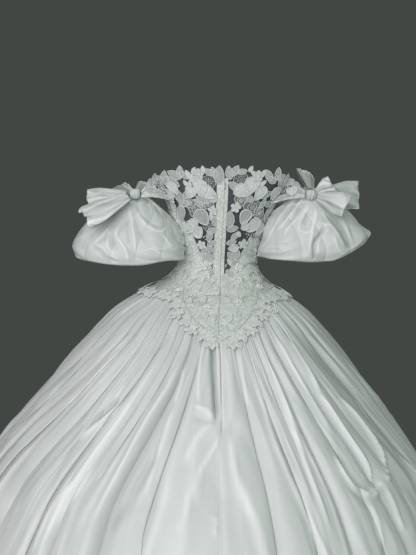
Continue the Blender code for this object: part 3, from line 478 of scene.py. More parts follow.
def add_object(name, data):
    made = bpy.data.objects.new(name, data)
    bpy.context.scene.collection.objects.link(made)
    return made


def add_piece(name, points, faces, material, nodes=(), painted_light=None):
    """One piece of the gown from points and faces, riding on the gown. Painted
    light gives each point a painted highlight (up to 1) or painted shade (down to -1)."""
    mesh = bpy.data.meshes.new(name)
    faces = [tuple(int(i) for i in face) for face in faces]
    mesh.from_pydata(np.asarray(points, dtype=float).tolist(), [], faces)
    mesh.materials.append(MATERIALS[material])
    mesh.shade_smooth()
    if painted_light is not None:
        values = mesh.attributes.new("painted_light", "FLOAT", "POINT").data
        values.foreach_set("value", np.clip(painted_light, -1, 1).ravel())
    piece = add_object(name, mesh)
    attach(piece, "root")
    if nodes:
        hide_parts(*nodes)
    return piece


def grid_faces(count, rows, closed=False):
    """Quads of a grid of points, columns round and rows down, facing out."""
    column = np.arange(count if closed else count - 1)[:, None]
    row = np.arange(rows - 1)[None, :]
    left, right = column * rows + row, (column + 1) % count * rows + row
    return np.stack([left, left + 1, right + 1, right], axis=-1).reshape(-1, 4).tolist()


def shell(name, grid, thickness, material, nodes=(), closed=False, painted_light=None):
    """A thin cloth shell on a grid of points, thickened inwards."""
    faces = grid_faces(*grid.shape[:2], closed)
    piece = add_piece(name, grid.reshape(-1, 3), faces, material, nodes, painted_light)
    if thickness:
        solid = piece.modifiers.new("thickness", "SOLIDIFY")
        solid.thickness = thickness
        solid.offset = -1.0
        piece.modifiers.new("clean_edges", "WEIGHTED_NORMAL")
    return piece


def tube_points(path, normals, radius, sides=5):
    """Rings of points round a path that lies on a surface with these normals."""
    along = unit(np.gradient(path, axis=0))
    aside = unit(np.cross(along, normals))
    turn = (np.arange(sides) * 2 * math.pi / sides)[None, :, None]
    ring = normals[:, None, :] * np.cos(turn) + aside[:, None, :] * np.sin(turn)
    return path[:, None, :] + ring * np.asarray(radius, float).reshape(-1, 1, 1)


def disc_faces(count, rings):
    """Faces of a middle point and the rings of count points round it."""
    faces = []
    for i in range(count):
        j = (i + 1) % count
        faces.append((0, 1 + i, 1 + j))
        for ring in range(rings - 1):
            a, b = 1 + ring * count, 1 + (ring + 1) * count
            faces.append((a + i, b + i, b + j, a + j))
    return faces


BEAD_SIDES = 6           # sides of a bead, and its rows from pole to pole
BEAD_ROWS = 4


class Batch:
    """Many small shapes gathered into one piece."""

    def __init__(self):
        self.points = []
        self.faces = []
        self.count = 0

    def add(self, points, faces):
        points = np.asarray(points, float).reshape(-1, 3)
        self.faces.extend([tuple(i + self.count for i in face) for face in faces])
        self.points.append(points)
        self.count += len(points)

    def add_tube(self, path, normals, radius, closed=False, sides=5):
        """A cord along a path; an open one is closed at both ends."""
        if closed:
            wrapped = np.concatenate([path[-1:], path, path[:1]])
            around = np.concatenate([normals[-1:], normals, normals[:1]])
            rings = tube_points(wrapped, around, radius, sides)[1:-1]
        else:
            rings = tube_points(path, normals, radius, sides)
        count = len(rings)
        faces = []
        for i in range(count if closed else count - 1):
            j = (i + 1) % count
            for s in range(sides):
                t = (s + 1) % sides
                faces.append((i * sides + s, i * sides + t, j * sides + t, j * sides + s))
        if not closed:
            faces.append(tuple(range(sides))[::-1])
            faces.append(tuple((count - 1) * sides + s for s in range(sides)))
        self.add(rings, faces)

    def add_bead(self, centre, radius):
        """A round bead."""
        around, rows = BEAD_SIDES, BEAD_ROWS
        lean = (math.pi * np.arange(1, rows) / rows)[:, None]
        turn = (2 * math.pi * np.arange(around) / around)[None, :]
        side = np.sin(lean)
        way = np.stack([side * np.cos(turn), side * np.sin(turn), np.cos(lean) + 0 * turn], -1)
        pole = np.array([[0.0, 0.0, 1.0]])
        points = centre + radius * np.concatenate([pole, way.reshape(-1, 3), -pole])
        last = len(points) - 1
        faces = disc_faces(around, rows - 1)
        faces += [(last, last - around + (i + 1) % around, last - around + i) for i in range(around)]
        self.add(points, faces)

    def make(self, name, material, slot, nodes=()):
        return add_piece(name, np.concatenate(self.points), self.faces, material, nodes)


# ---------------- skirt


def fold_rows():
    """All the skirt's valleys in order round the gown."""
    rows = named(BACK_FOLDS, FOLD_COLUMNS)
    first, last = rows[-1], rows[0]
    waist_span = last["waist_angle"] + 360.0 - first["waist_angle"]
    hem_span = last["hem_angle"] + 360.0 - first["hem_angle"]
    for i in range(1, FRONT_FOLDS + 1):
        share = i / (FRONT_FOLDS + 1)
        shift = UNEVEN_SPACING[i % len(UNEVEN_SPACING)]
        rows.append({
            "waist_angle": first["waist_angle"] + share * waist_span + 0.7 * shift,
            "hem_angle": first["hem_angle"] + share * hem_span + shift,
            "depth": UNEVEN_DEPTH[i % len(UNEVEN_DEPTH)],
            "foot": HEM,
            "lap": 1 if i % 3 else -1,
        })
    return rows


FOLDS = fold_rows()


def fold_value(name, place):
    """A fold column at whole fold numbers, counted on round the gown."""
    place = np.asarray(place, dtype=int)
    values = np.array([row[name] for row in FOLDS])
    turns, index = np.divmod(place, len(FOLDS))
    value = values[index]
    if name in ("waist_angle", "hem_angle"):
        value = value + 360.0 * turns
    return value


def between_folds(name, place):
    low = np.floor(place).astype(int)
    share = place - low
    return fold_value(name, low) * (1 - share) + fold_value(name, low + 1) * share


def valley_depth(fold, height):
    """How deep one valley is at a height."""
    foot = fold_value("foot", fold)
    fading = np.where(foot > HEM, ease((height - foot) / 0.16), 1.0)
    return fold_value("depth", fold) * smooth(DEPTH_AT["height"], DEPTH_AT["depth"], height) * fading


CRISP = 0.38             # power of the sine across a fold: low is a sharp valley and a flat crest
LAP = 0.15               # how far a valley is drawn under its neighbour, in fold widths
PINCHES = 4              # gathering pleats at the waist for each fold
PINCH_DEPTH = 0.0046
RIPPLE = 0.30            # depth of the ripples between folds, beside the fold's own

# Creases, listed one by one, each a soft ridge (+) or trough (-) along a path of
# (angle, height in mm) points; width and depth are in mm.
CREASE_COLUMNS = ("depth", "width", "path")
SKIRT_CREASES = (
    # the pleat at the centre back, and the crumples that pull away from its foot
    (-15, 5, ((-4.9, -150), (-4.3, -222), (-3.7, -272), (-3.1, -325), (-2.9, -345))),
    (6, 6, ((-2.3, -150), (-1.7, -222), (-1.1, -290), (-0.9, -350))),
    (6, 5, ((-9.3, -170), (-9.6, -233), (-9.2, -305))),
    (6, 6, ((-11.0, -303), (-7.1, -311), (-3.0, -325))),
    (-6, 6, ((-10.5, -322), (-6.4, -333), (-2.4, -338))),
    (6, 6, ((-2.8, -330), (-6.3, -350), (-9.2, -372), (-11.4, -415))),
    (6, 6, ((-1.0, -355), (-4.0, -388), (-6.0, -413), (-7.7, -440), (-8.0, -490))),
    (5, 7, ((0.9, -350), (1.7, -425), (5.2, -520))),
    (3, 8, ((0.6, -180), (1.9, -242), (1.7, -312), (0.7, -351))),
    (4, 5, ((7.2, -184), (7.3, -253), (7.3, -309))),
    (3, 5, ((-8.5, -442), (-9.3, -472), (-10.3, -507), (-10.9, -542))),
    (3, 4, ((-4.5, -505), (-2.8, -516), (-3.5, -530), (-2.0, -545))),
    # broad valleys on the right and left, and crinkles by the left hip
    (-13, 24, ((42.2, -97), (51.5, -265), (61.4, -462), (58.8, -579), (57.5, -760))),
    (-7, 9, ((-18.0, -390), (-21.5, -450), (-24.5, -520), (-26.0, -560))),
    (4, 5, ((-70.0, -215), (-72.5, -250), (-72.0, -290))),
    (-4, 5, ((-73.0, -205), (-75.5, -240), (-75.0, -300))),
    (4, 5, ((-76.5, -225), (-78.0, -262), (-79.5, -310))),
    # a tuck that folds over to the left, and the crumple above it
    (-10, 8, ((-37.1, -305), (-38.3, -328), (-41.6, -358), (-44.8, -385))),
    (6, 6, ((-35.2, -311), (-36.7, -332), (-39.7, -359), (-42.5, -387), (-45.3, -410))),
    (4, 4, ((-38.1, -263), (-37.4, -288), (-38.5, -309), (-41.3, -340))),
    (-5, 6, ((-27.0, -150), (-27.6, -182), (-31.5, -208))),
    # two long ridges on the right, closed by a pucker at their foot
    (6, 5, ((35.6, -163), (36.1, -204), (36.8, -262), (36.7, -300))),
    (9, 4.5, ((36.2, -280), (38.7, -338), (40.8, -398), (41.8, -430), (42.2, -462), (40.6, -490),
              (37.5, -520))),
    (9, 4.5, ((45.7, -307), (49.6, -365), (50.8, -399), (51.2, -440), (49.8, -468), (47.2, -490),
              (42.0, -515))),
    (9, 5.5, ((32.8, -400), (31.6, -445), (33.0, -480), (36.3, -503), (39.5, -506), (42.6, -500),
              (46.6, -478))),
    (-6, 6, ((34.2, -415), (34.0, -455), (35.6, -482), (38.6, -490), (42.0, -480))),
    (-3, 7, ((30.6, -440), (31.4, -485), (35.4, -520), (40.0, -522), (44.6, -512))),
    (5, 7, ((36.2, -506), (36.1, -525), (36.0, -547), (34.9, -610))),
    (5, 7, ((44.4, -500), (44.5, -541), (43.5, -600))),
    # long soft ridges beside the main valleys
    (5, 8, ((8.8, -160), (12.1, -239), (14.0, -374), (17.3, -487), (20.1, -600), (21.5, -760))),
    (5, 7, ((15.4, -140), (18.0, -192), (20.4, -277), (21.4, -380), (22.0, -475), (22.4, -566))),
    (5, 5, ((-15.6, -223), (-15.7, -268), (-17.0, -305))),
    (5, 6, ((-15.4, -300), (-17.2, -337), (-18.4, -392), (-19.2, -434), (-19.6, -490))),
    (5, 7, ((-17.5, -200), (-20.0, -270), (-24.5, -340), (-27.5, -430), (-30.5, -540))),
    (4, 7, ((-35.6, -425), (-36.3, -463), (-37.7, -516), (-39.7, -559), (-40.3, -610))),
    (5, 7, ((-39.9, -472), (-41.2, -510), (-42.0, -545), (-42.2, -589), (-42.6, -640))),
    (5, 9, ((-25.5, -190), (-29.5, -262), (-33.5, -352), (-38.0, -470), (-41.5, -600))),
    (6, 10, ((-46.0, -180), (-52.0, -280), (-57.5, -380), (-62.0, -520), (-65.0, -700))),
    (-5, 9, ((-53.0, -300), (-58.5, -420), (-62.0, -560))),
    (5, 9, ((28.0, -150), (30.5, -240), (33.0, -330), (34.5, -400))),
    (4, 10, ((-14.5, -380), (-15.5, -480), (-17.5, -620), (-18.0, -800))),
    (4, 10, ((3.0, -420), (6.5, -560), (7.5, -700))),
)


def distance_to_path(x, y, path):
    """Distance of each (x, y) from a path, and how far along it, 0 to 1."""
    path = np.asarray(path, float)
    steps = np.linalg.norm(np.diff(path, axis=0), axis=1)
    travelled = np.concatenate([[0.0], np.cumsum(steps)])
    best = np.full(x.shape, 1e9)
    share = np.zeros(x.shape)
    for start, end, before, length in zip(path[:-1], path[1:], travelled[:-1], steps):
        along = (end - start) / length
        t = np.clip((x - start[0]) * along[0] + (y - start[1]) * along[1], 0, length)
        away = np.hypot(x - start[0] - t * along[0], y - start[1] - t * along[1])
        nearer = away < best
        best = np.where(nearer, away, best)
        share = np.where(nearer, (before + t) / travelled[-1], share)
    return best, share


def curve_through(points, steps=6):
    """A smooth path through hand-set points."""
    points = np.asarray(points, float)
    keys = np.arange(len(points), dtype=float)
    at = np.linspace(0, keys[-1], (len(points) - 1) * steps + 1)
    return np.stack([smooth(keys, points[:, k], at) for k in range(points.shape[1])], axis=-1)


def creases(across, up, table, flat, sharpness=2.0):
    """Sum of the listed creases at (across, up) in metres; flat turns a
    path's points into the same metres. Sharpness 2 is a soft roll, 1 an edge."""
    total = np.zeros(np.broadcast(across, up).shape)
    for crease in named(table, CREASE_COLUMNS):
        path = flat(curve_through(crease["path"]))
        width = crease["width"] * MM
        reach = 3 * width
        near = ((across > path[:, 0].min() - reach) & (across < path[:, 0].max() + reach)
                & (up > path[:, 1].min() - reach) & (up < path[:, 1].max() + reach))
        if not near.any():
            continue
        away, share = distance_to_path(across[near], up[near], path)
        taper = ease(np.minimum(share, 1 - share) * 5)
        total[near] += crease["depth"] * MM * np.exp(-(away / width) ** sharpness) * taper
    return total


SKIRT_SLANT = 1.25       # metres down the skirt's cloth for each metre of height


def skirt_flat(angle, height):
    """The skirt's back laid flat: metres across from the centre back, and up."""
    return np.radians(angle) * girth("half_width", height), height * SKIRT_SLANT


def skirt_path(points):
    """A crease's (angle, height in mm) points on the skirt laid flat."""
    return np.stack(skirt_flat(points[:, 0], points[:, 1] * MM), -1)


SPREAD_FROM = -0.10      # folds run straight down to here and then turn to their hem angles
SPREAD_OVER = 0.45
RIDGE_RELIEF = 0.006     # relief in metres at which a listed ridge gets its full painted highlight
TROUGH_RELIEF = 0.019    # and a trough its full painted shade
LEVEL_FROM = -0.45       # the mesh's rows are level from here on down to the hem
LEVEL_OVER = 0.50
# Layers of crisp silk's papery relief: cells to a fold and how they slant, a
# cell's height in metres, its seed, the width of its lines (0 for flat
# facets), its depth in metres and how much painted highlight its lines get.
PAPER_COLUMNS = ("across", "slant", "tall", "seed", "line", "depth", "white")
PAPER_LAYERS = (
    (0.9, 1.5, 0.33, 7, 0.10, 0.0018, 0.10),
    (1.7, -3.0, 0.14, 8, 0.12, -0.0012, 0.00),
    (1.1, 2.0, 0.17, 9, 0.00, 0.0048, 0.00),
    (2.6, -3.0, 0.085, 10, 0.00, 0.0016, 0.00),
    (2.3, 0.9, 0.24, 11, 0.15, 0.0012, 0.38),
)


def paper(place, height):
    """The silk's papery relief in metres, and the painted highlight along its lines."""
    relief = 0.0
    white = 0.0
    for layer in named(PAPER_LAYERS, PAPER_COLUMNS):
        u, v = place * layer["across"] + height * layer["slant"], height / layer["tall"]
        if layer["line"]:
            lines = crease_lines(u, v, layer["seed"], layer["line"])
        else:
            lines = facets(u, v, layer["seed"])
        relief = relief + layer["depth"] * lines
        # painted highlight along the papery lines
        white = white + layer["white"] * lines
    return relief, white


def skirt_drape(place, height):
    """A point of the gathered skirt and its painted light; place counts folds round the
    waist."""
    low = np.floor(place).astype(int)
    share = place - low
    rounding = np.abs(np.sin(np.pi * share)) ** CRISP
    seam = seam_height(between_folds("waist_angle", place))
    below = seam - height
    at_seam = ease(below / SEWN_DOWN)
    nearest = np.where(share < 0.5, low, low + 1)
    drawn = LAP * fold_value("lap", nearest) * (1 - rounding) ** 2 * at_seam
    lapped = place + drawn * np.clip(valley_depth(nearest, height) / 0.010, 0, 1)
    spread = ease((SPREAD_FROM - height) / SPREAD_OVER)
    waist_angle = between_folds("waist_angle", lapped)
    angle = waist_angle + (between_folds("hem_angle", lapped) - waist_angle) * spread
    valley = valley_depth(low, height) * (1 - ease(share)) + valley_depth(low + 1, height) * ease(share)
    push = -valley * (1 - rounding)

    # ripples between the folds, one to three of them, which swell and fade
    drift = 0.22 * noise(place * 0.5, height / 0.21, 3)
    ripples = 1 + (low * 7 % 5 % 3)
    rippled = 1 - np.abs(np.sin(np.pi * ripples * (share + drift))) ** 0.6
    swell = 0.5 + 0.5 * noise(low * 0.73, height / 0.16, 4)
    push -= RIPPLE * valley * rippled * swell * np.sin(np.pi * share)

    # gathering pleats at the seam, which run out at uneven lengths
    run_out = 0.07 + 0.10 * (1 + noise(place * PINCHES, 0 * height, 5))
    wander = 1.2 * noise(place, height / 0.08, 6)
    pinched = 1 - np.abs(np.sin(np.pi * PINCHES * place + wander)) ** 0.5
    still_in = 1 - ease(below / run_out)
    push -= PINCH_DEPTH * pinched * still_in * ease(below / 0.008)

    relief, white = paper(place, height)
    push += at_seam * ease(below / 0.12) * relief
    set_by_hand = creases(*skirt_flat(angle, height), SKIRT_CREASES, skirt_path)
    push += set_by_hand
    # painted light: painted highlight on raised creases and papery lines, painted shade in troughs, fold
    # valleys and waist gathers
    painted_light = set_by_hand / np.where(set_by_hand > 0, RIDGE_RELIEF, TROUGH_RELIEF)
    painted_light += white - 0.8 * valley / 0.020 * (1 - rounding) ** 3 - 0.45 * pinched ** 2 * still_in
    points = cloth(angle, height, push * at_seam)
    points[..., 2] += (height - points[..., 2]) * ease((LEVEL_FROM - height) / LEVEL_OVER)
    return points, painted_light * at_seam


GORE_COLUMNS = ("name", "first", "last", "steps", "rows", "hem_cut", "waist_cut", "length")
GORES = (
    # first and last count folds, and steps are the mesh's columns to a fold;
    # the cut sizes are in metres: width at the hem, width at the waist, length
    ("skirt_back_left", 4, 13, 20, 120, 1.30, 0.60, 1.28),
    ("skirt_back_right", 13, 22, 20, 120, 1.25, 0.60, 1.28),
    ("skirt_side_right", 22, 30, 16, 100, 1.15, 0.52, 1.36),
    ("skirt_front", 30, 39, 14, 90, 1.36, 0.60, 1.22),
    ("skirt_side_left", 39, 47, 16, 100, 1.15, 0.52, 1.36),
)
CLOSER_AT_VALLEYS = 0.55   # the mesh's columns draw together in the valleys
CLOSER_AT_TOP = 1.15       # and its rows towards the seam


def make_skirt():
    """Five gores of gathered taffeta."""
    for gore in named(GORES, GORE_COLUMNS):
        step = np.linspace(0, 1, gore["steps"], endpoint=False)
        step = step - CLOSER_AT_VALLEYS * np.sin(2 * np.pi * step) / (2 * np.pi)
        place = [fold + s for fold in range(gore["first"], gore["last"]) for s in step] + [gore["last"]]
        down = np.linspace(0, 1, gore["rows"]) ** CLOSER_AT_TOP
        place, down = grid_of(np.array(place, float), down)
        top = seam_height(between_folds("waist_angle", place))
        points, painted_light = skirt_drape(place, top + (HEM - top) * down)
        name = gore["name"]
        piece = shell(name.replace("skirt", "gore"), points, TAFFETA_THICK, "taffeta", [name],
                      painted_light=painted_light)


# ---------------- bodice

LEFT_PLACKET = 0.021     # width of the placket left of the opening
RIGHT_PLACKET = 0.010    # and right of it
LEFT_TOP = 0.243         # top of the placket's left edge
RIGHT_TOP = 0.236        # and of its right edge
NET_DROP = 0.004         # the net is cut below the lace's points
NET_UNDER = 0.0012       # and lies under the satin's edge


def panel_grid(first, last, top, foot, count, rows, out):
    """Points of a bodice panel between two edges and from its top to its foot;
    first and last give an edge's angle at a height, and out its relief."""
    across, share = grid_of(np.linspace(0, 1, count), np.linspace(0, 1, rows))
    height = np.zeros((count, rows))
    for _ in range(6):
        angle = first(height) + (last(height) - first(height)) * across
        height = top(angle) + (foot(angle) - top(angle)) * share
    return cloth(angle, height, out(angle, height))


def at_opening(side, distance):
    """An edge at a distance from the opening, left (-1) or right (1)."""
    return lambda height: closure_angle(height) + side * degrees_for(distance, height)


def at_angle(angle):
    return lambda height: angle + 0 * height


PRINCESS_SEAMS = (-128.0, -52.0, 52.0, 128.0)    # shaping seams that run down the bodice
SEAM_DIP = 0.0011
SEAM_WIDE = 1.3          # the dip's width in degrees
SEAM_BEND = 6.0          # degrees that a seam leans over 0.15 m of height
TUCK_FROM = -34.0        # a tuck pulls across the satin left of the opening between these angles
TUCK_TO = -12.0
TUCK_HEIGHT = -0.097
TUCK_WIDE = 0.005
TUCK_DEPTH = 0.0022


def satin_relief(angle, height):
    """The bodice's slight pull, the dips along its shaping seams and its tuck."""
    relief = 0.0008 * noise(angle / 14.0, height / 0.035, 21)
    for seam in PRINCESS_SEAMS:
        away = (angle - seam + 180.0) % 360.0 - 180.0
        bend = SEAM_BEND * (height - 0.02) / 0.15 * (1 if seam * (abs(seam) - 90) < 0 else -1)
        relief = relief - SEAM_DIP * np.exp(-((away - bend) / SEAM_WIDE) ** 2)
    pulled = noise(angle / 30.0, height / 0.010, 22) * np.exp(-(height / 0.035) ** 2)
    tuck = window(angle, TUCK_FROM, 8, TUCK_TO, 6) * (np.abs(angle) < 60)
    above = (height - TUCK_HEIGHT) / TUCK_WIDE
    tuck = tuck * (np.exp(-above ** 2) - np.exp(-(above - 1.8) ** 2))
    return relief + 0.0009 * pulled + TUCK_DEPTH * tuck


PANEL_COLUMNS = ("name", "first", "last", "count", "cut", "share")
PANELS = (
    # the cut sizes are in metres, with the share of that rectangle the panel fills
    ("bodice_back_left", at_angle(-90), at_opening(-1, 0.0002), 60, (0.235, 0.290), 0.54),
    ("bodice_back_right", at_opening(1, 0.0002), at_angle(90), 60, (0.235, 0.290), 0.54),
    ("bodice_front", at_angle(90), at_angle(270), 90, (0.430, 0.340), 0.80),
)
YOKE_COLUMNS = ("word", "first", "last")
YOKE = (
    ("left", at_angle(-YOKE_END), at_opening(-1, LEFT_PLACKET)),
    ("right", at_opening(1, RIGHT_PLACKET), at_angle(YOKE_END)),
)


def make_bodice():
    """Satin backs and front, and the net of the yoke."""
    for panel in named(PANELS, PANEL_COLUMNS):
        grid = panel_grid(panel["first"], panel["last"], satin_height, seam_height, panel["count"], 48,
                          satin_relief)
        name = panel["name"]
        piece = shell(name.replace("bodice", "satin"), grid, SATIN_THICK, "satin", [name])
    for half in named(YOKE, YOKE_COLUMNS):
        grid = panel_grid(half["first"], half["last"], lambda a: neck_height(a) - NET_DROP,
                          lambda a: satin_height(a) - 0.004, 56, 36,
                          lambda a, h: -NET_UNDER + 0.0005 * noise(a / 9.0, h / 0.03, 23))
        word = half["word"]
        piece = shell("net_" + word, grid, NET_THICK, "net", ["yoke_net_" + word])


PLACKET_COLUMNS = ("word", "first", "last", "lift", "top", "width")
PLACKET = (
    ("left", at_opening(-1, LEFT_PLACKET), at_opening(-1, 0.0003), 0.0006, LEFT_TOP, LEFT_PLACKET),
    ("right", at_opening(1, 0.0003), at_opening(1, RIGHT_PLACKET), 0.0002, RIGHT_TOP, RIGHT_PLACKET),
)


def make_placket():
    """The two folded edges of the opening."""
    for edge in named(PLACKET, PLACKET_COLUMNS):

        def relief(angle, height):
            return edge["lift"] + 0.0010 + 0.0005 * noise(angle / 1.6, height / 0.012, 24)

        grid = panel_grid(edge["first"], edge["last"], lambda a: edge["top"] + 0 * a,
                          lambda a: satin_height(a) - 0.002, 16, 90, relief)
        word = edge["word"]
        piece = shell("placket_lace_" + word, grid, 2 * SATIN_THICK, "overlay", ["placket_" + word])


TRIM_COLUMNS = ("name", "material", "angle", "height", "out", "radius", "sides")


def trims():
    """The cords sewn round the gown: lines of angle and height, each with its
    distance out from the form and its radius."""
    seam_gap = closure_angle(-0.17)
    edge_gap = closure_angle(-0.03)
    piping = np.linspace(seam_gap + 0.6, 360.0 + seam_gap - 0.6, 460)
    edge = np.linspace(edge_gap + 1.0, 359.0 + edge_gap, 420)
    tape = np.linspace(2.0, 358.0, 180)
    return (
        ("basque_piping", "overlay", piping, seam_height(piping) + 0.0005, 0.0010, 0.0012, 5),
        ("satin_edge_binding", "cord", edge, satin_height(edge), 0.0004, 0.0011, 5),
        ("waist_tape", "satin", tape, 0 * tape + 0.006, -0.0030, 0.0006, 4),
        ("waist_tape", "satin", tape, 0 * tape - 0.006, -0.0030, 0.0006, 4),
    )


COIL_FROM = -0.160       # the zip's coil runs between these heights
COIL_TO = 0.222
COIL_PITCH = 0.0034
SLIDER_TOP = 0.226
SLIDER_FOOT = 0.206
SLIDER_OUT = 0.0052
SLIDER_RADII = (0.0010, 0.0022, 0.0020, 0.0014, 0.0013, 0.0019, 0.0022, 0.0010)


def make_trims():
    """Piping on the basque seam, bindings on the satin's edge, tape and zip."""
    batches = {}
    for trim in named(trims(), TRIM_COLUMNS):
        batch = batches.setdefault((trim["name"], trim["material"]), Batch())
        batch.add_tube(cloth(trim["angle"], trim["height"], trim["out"]),
                       cloth_normal(trim["angle"], trim["height"]), trim["radius"], sides=trim["sides"])
    for (name, material), batch in batches.items():
        batch.make(name, material, "satin")
    teeth = Batch()
    for height in np.arange(COIL_FROM, COIL_TO, COIL_PITCH):
        teeth.add_bead(cloth(float(closure_angle(height)), height, 0.0002), 0.0013)
    teeth.make("zip_coil", "zip", "satin")
    pull = Batch()
    at = float(closure_angle(COIL_TO))
    line = np.linspace(SLIDER_TOP, SLIDER_FOOT, len(SLIDER_RADII))
    pull.add_tube(cloth(at, line, SLIDER_OUT), cloth_normal(at, line), np.array(SLIDER_RADII), sides=8)
    pull.make("zip_slider", "zip", "satin")


# ---------------- lace

LACE_LIFT = 0.0022       # the yoke's lace lies this far out from the gown's form
CORD = 0.00110           # radius of the cord round a motif
VEIN = 0.00045           # and of the veins inside it
RING_SHARES = (0.35, 0.62, 0.82, 0.94, 1.0)    # rings of a motif's cloth out to its edge
SPIRAL = 2.4             # radians from pearl to pearl in a spray, which spreads them evenly


def leaf_edge(t, size):
    """A pointed leaf; t runs round it from the tip."""
    turn = 2 * np.pi * t
    half = 0.27 * size
    point = np.where(np.cos(turn) > 0, 0.95, 0.45)
    wave = 1 + 0.05 * np.sin(11 * turn)
    x = half * np.sin(turn) * (1 - 0.18 * np.cos(turn)) * wave
    y = 0.5 * size * np.sign(np.cos(turn)) * np.abs(np.cos(turn)) ** 0.92
    return np.stack([x * np.abs(np.sin(turn)) ** point, y], -1)


def petal_edge(t, size):
    """A broad petal, rounded at the top and narrow at its foot."""
    turn = 2 * np.pi * t
    point = np.abs(np.sin(turn)) ** (0.5 * np.maximum(np.cos(turn), 0))
    x = 0.48 * size * np.sin(turn) * (0.72 + 0.34 * np.cos(turn)) * (1 + 0.03 * np.sin(7 * turn)) * point
    return np.stack([x, 0.5 * size * np.cos(turn) * (1 - 0.06 * np.cos(2 * turn))], -1)


def lobed_edge(lobes, dent):
    """A flower of round lobes, with dents between them as a share of its radius."""
    def edge(t, size):
        turn = 2 * np.pi * t
        radius = 0.5 * size * (1 - dent * (1 - np.abs(np.cos(lobes * turn / 2)) ** 0.7))
        return np.stack([radius * np.sin(turn), radius * np.cos(turn)], -1)

    return edge


def leaned(x, y, turn):
    """Millimetres across and up the gown from those of a motif with this turn."""
    lean = math.radians(turn)
    return x * math.cos(lean) + y * math.sin(lean), y * math.cos(lean) - x * math.sin(lean)


def offset(reach, turn):
    """How far across and up a distance is, in a direction in degrees from up."""
    return reach * math.sin(math.radians(turn)), reach * math.cos(math.radians(turn))


class Lace:
    """The motifs of one lace panel, gathered as cloth, cords and beads."""

    def __init__(self, side, lift=None, limit=None):
        self.side = side
        self.lift = lift
        self.limit = limit
        self.cloth = Batch()
        self.kinds = []
        self.cords = Batch()
        self.beads = Batch()
        self.area = 0.0

    def lay(self, place, local, out):
        """Points of a motif in millimetres laid on the gown, and their normals."""
        angle, height, turn = place
        across, up = leaned(local[..., 0], local[..., 1], turn)
        angles = self.side * (angle + across * MM / float(round_speed(self.side * angle, height)))
        heights = height + up * MM / float(flare(self.side * angle, height))
        if self.limit is not None:
            low = self.limit(self.side, heights)
            angles = self.side * np.maximum(self.side * angles, low)
        points = cloth(angles, heights, self.lift(angles, heights) + out)
        return points, cloth_normal(angles, heights)

    def fill(self, place, edge, dome, kind, cup, layer):
        """The cloth of one motif, domed and cupped, drawn from its middle out."""
        shares = np.repeat(RING_SHARES, len(edge))
        local = np.concatenate([edge[:1] * 0] + [edge * share for share in RING_SHARES])
        outs = np.concatenate([[dome], dome * (1 - shares ** 2) + cup * shares ** 3]) + layer
        faces = disc_faces(len(edge), len(RING_SHARES))
        if self.side > 0:
            faces = [face[::-1] for face in faces]
        self.cloth.add(self.lay(place, local, outs)[0], faces)
        self.kinds.extend([kind] * len(faces))
        x, y = edge[:, 0], edge[:, 1]
        self.area += abs(float(np.sum(x * np.roll(y, -1) - np.roll(x, -1) * y))) / 2 * MM * MM

    def cord(self, place, local, out, radius, closed=False):
        points, normals = self.lay(place, local, out)
        self.cords.add_tube(points, normals, radius, closed, sides=4)

    def bead(self, place, x, y, out, radius):
        self.beads.add_bead(self.lay(place, np.array([[x, y]]), out)[0][0], radius)

    def bead_ring(self, place, count, reach, out, radius):
        """A ring of beads, the last of them in its middle."""
        for k in range(count):
            turn = 2 * math.pi * k / (count - 1)
            far = 0.0 if k == count - 1 else reach
            self.bead(place, far * math.sin(turn), far * math.cos(turn), out, radius)


# The cloth of each kind of motif: its outline and the points on it, its
# material, how far its middle stands up and its edge curls in metres, and its
# cord's place on the outline, height in metres and thickness beside CORD.
PATCH_COLUMNS = ("edge", "points", "kind", "dome", "cup", "inset", "rise", "rim")
PATCHES = {
    "leaf": (leaf_edge, 30, "leaf", 0.0008, 0.0006, 0.985, 0.0008, 1.0),
    "petal": (petal_edge, 32, "petal", 0.0010, 0.0020, 0.975, 0.0024, 1.25),
    "rose": (petal_edge, 32, "petal", 0.0010, 0.0020, 0.975, 0.0024, 1.0),
    "cup": (petal_edge, 32, "leaf", 0.0010, 0.0020, 0.975, 0.0024, 1.8),
    "sheer": (lobed_edge(5, 0.24), 60, "sheer", 0.0006, 0.0004, 0.98, 0.0007, 0.9),
    "dark": (lobed_edge(7, 0.12), 40, "dark", 0.0010, 0.0004, 0.97, 0.0008, 0.7),
    "blossom": (petal_edge, 16, "petal", 0.0012, 0.0010, 0.95, 0.0013, 0.75),
    "bud": (leaf_edge, 20, "petal", 0.0014, 0.0004, 0.97, 0.0010, 0.8),
    "low_leaf": (leaf_edge, 18, "overlay", 0.0012, 0.0006, 0.97, 0.0008, 0.75),
    "low_petal": (petal_edge, 14, "overlay", 0.0012, 0.0012, 0.96, 0.0010, 0.75),
    "sprig_flower": (lobed_edge(5, 0.4), 20, "overlay", 0.0010, 0.0006, 0.97, 0.0006, 0.75),
    "sprig_leaf": (leaf_edge, 16, "overlay", 0.0010, 0.0006, 0.97, 0.0006, 0.75),
}


def patch(lace, place, size, name, layer):
    """A motif's cloth, with a cord couched along its edge."""
    row = dict(zip(PATCH_COLUMNS, PATCHES[name]))
    edge = row["edge"](np.arange(row["points"]) / row["points"], size)
    lace.fill(place, edge, row["dome"], row["kind"], row["cup"], layer)
    lace.cord(place, edge * row["inset"], layer + row["rise"], CORD * row["rim"], closed=True)


def leaf(lace, place, size, layer=0.0006):
    """A corded leaf with a midrib and slanting veins."""
    patch(lace, place, size, "leaf", layer)
    midrib = np.array([(0, -0.47), (0, -0.2), (0, 0.15), (0, 0.44)])
    lace.cord(place, midrib * size, layer + 0.0011, VEIN * 1.2)
    for foot, wide in ((-0.26, 0.18), (0.0, 0.153)):
        for way in (-wide, wide):
            path = np.array([(0, foot), (way * 0.55, foot + 0.07), (way, foot + 0.17)]) * size
            lace.cord(place, path, layer + 0.0009, VEIN)


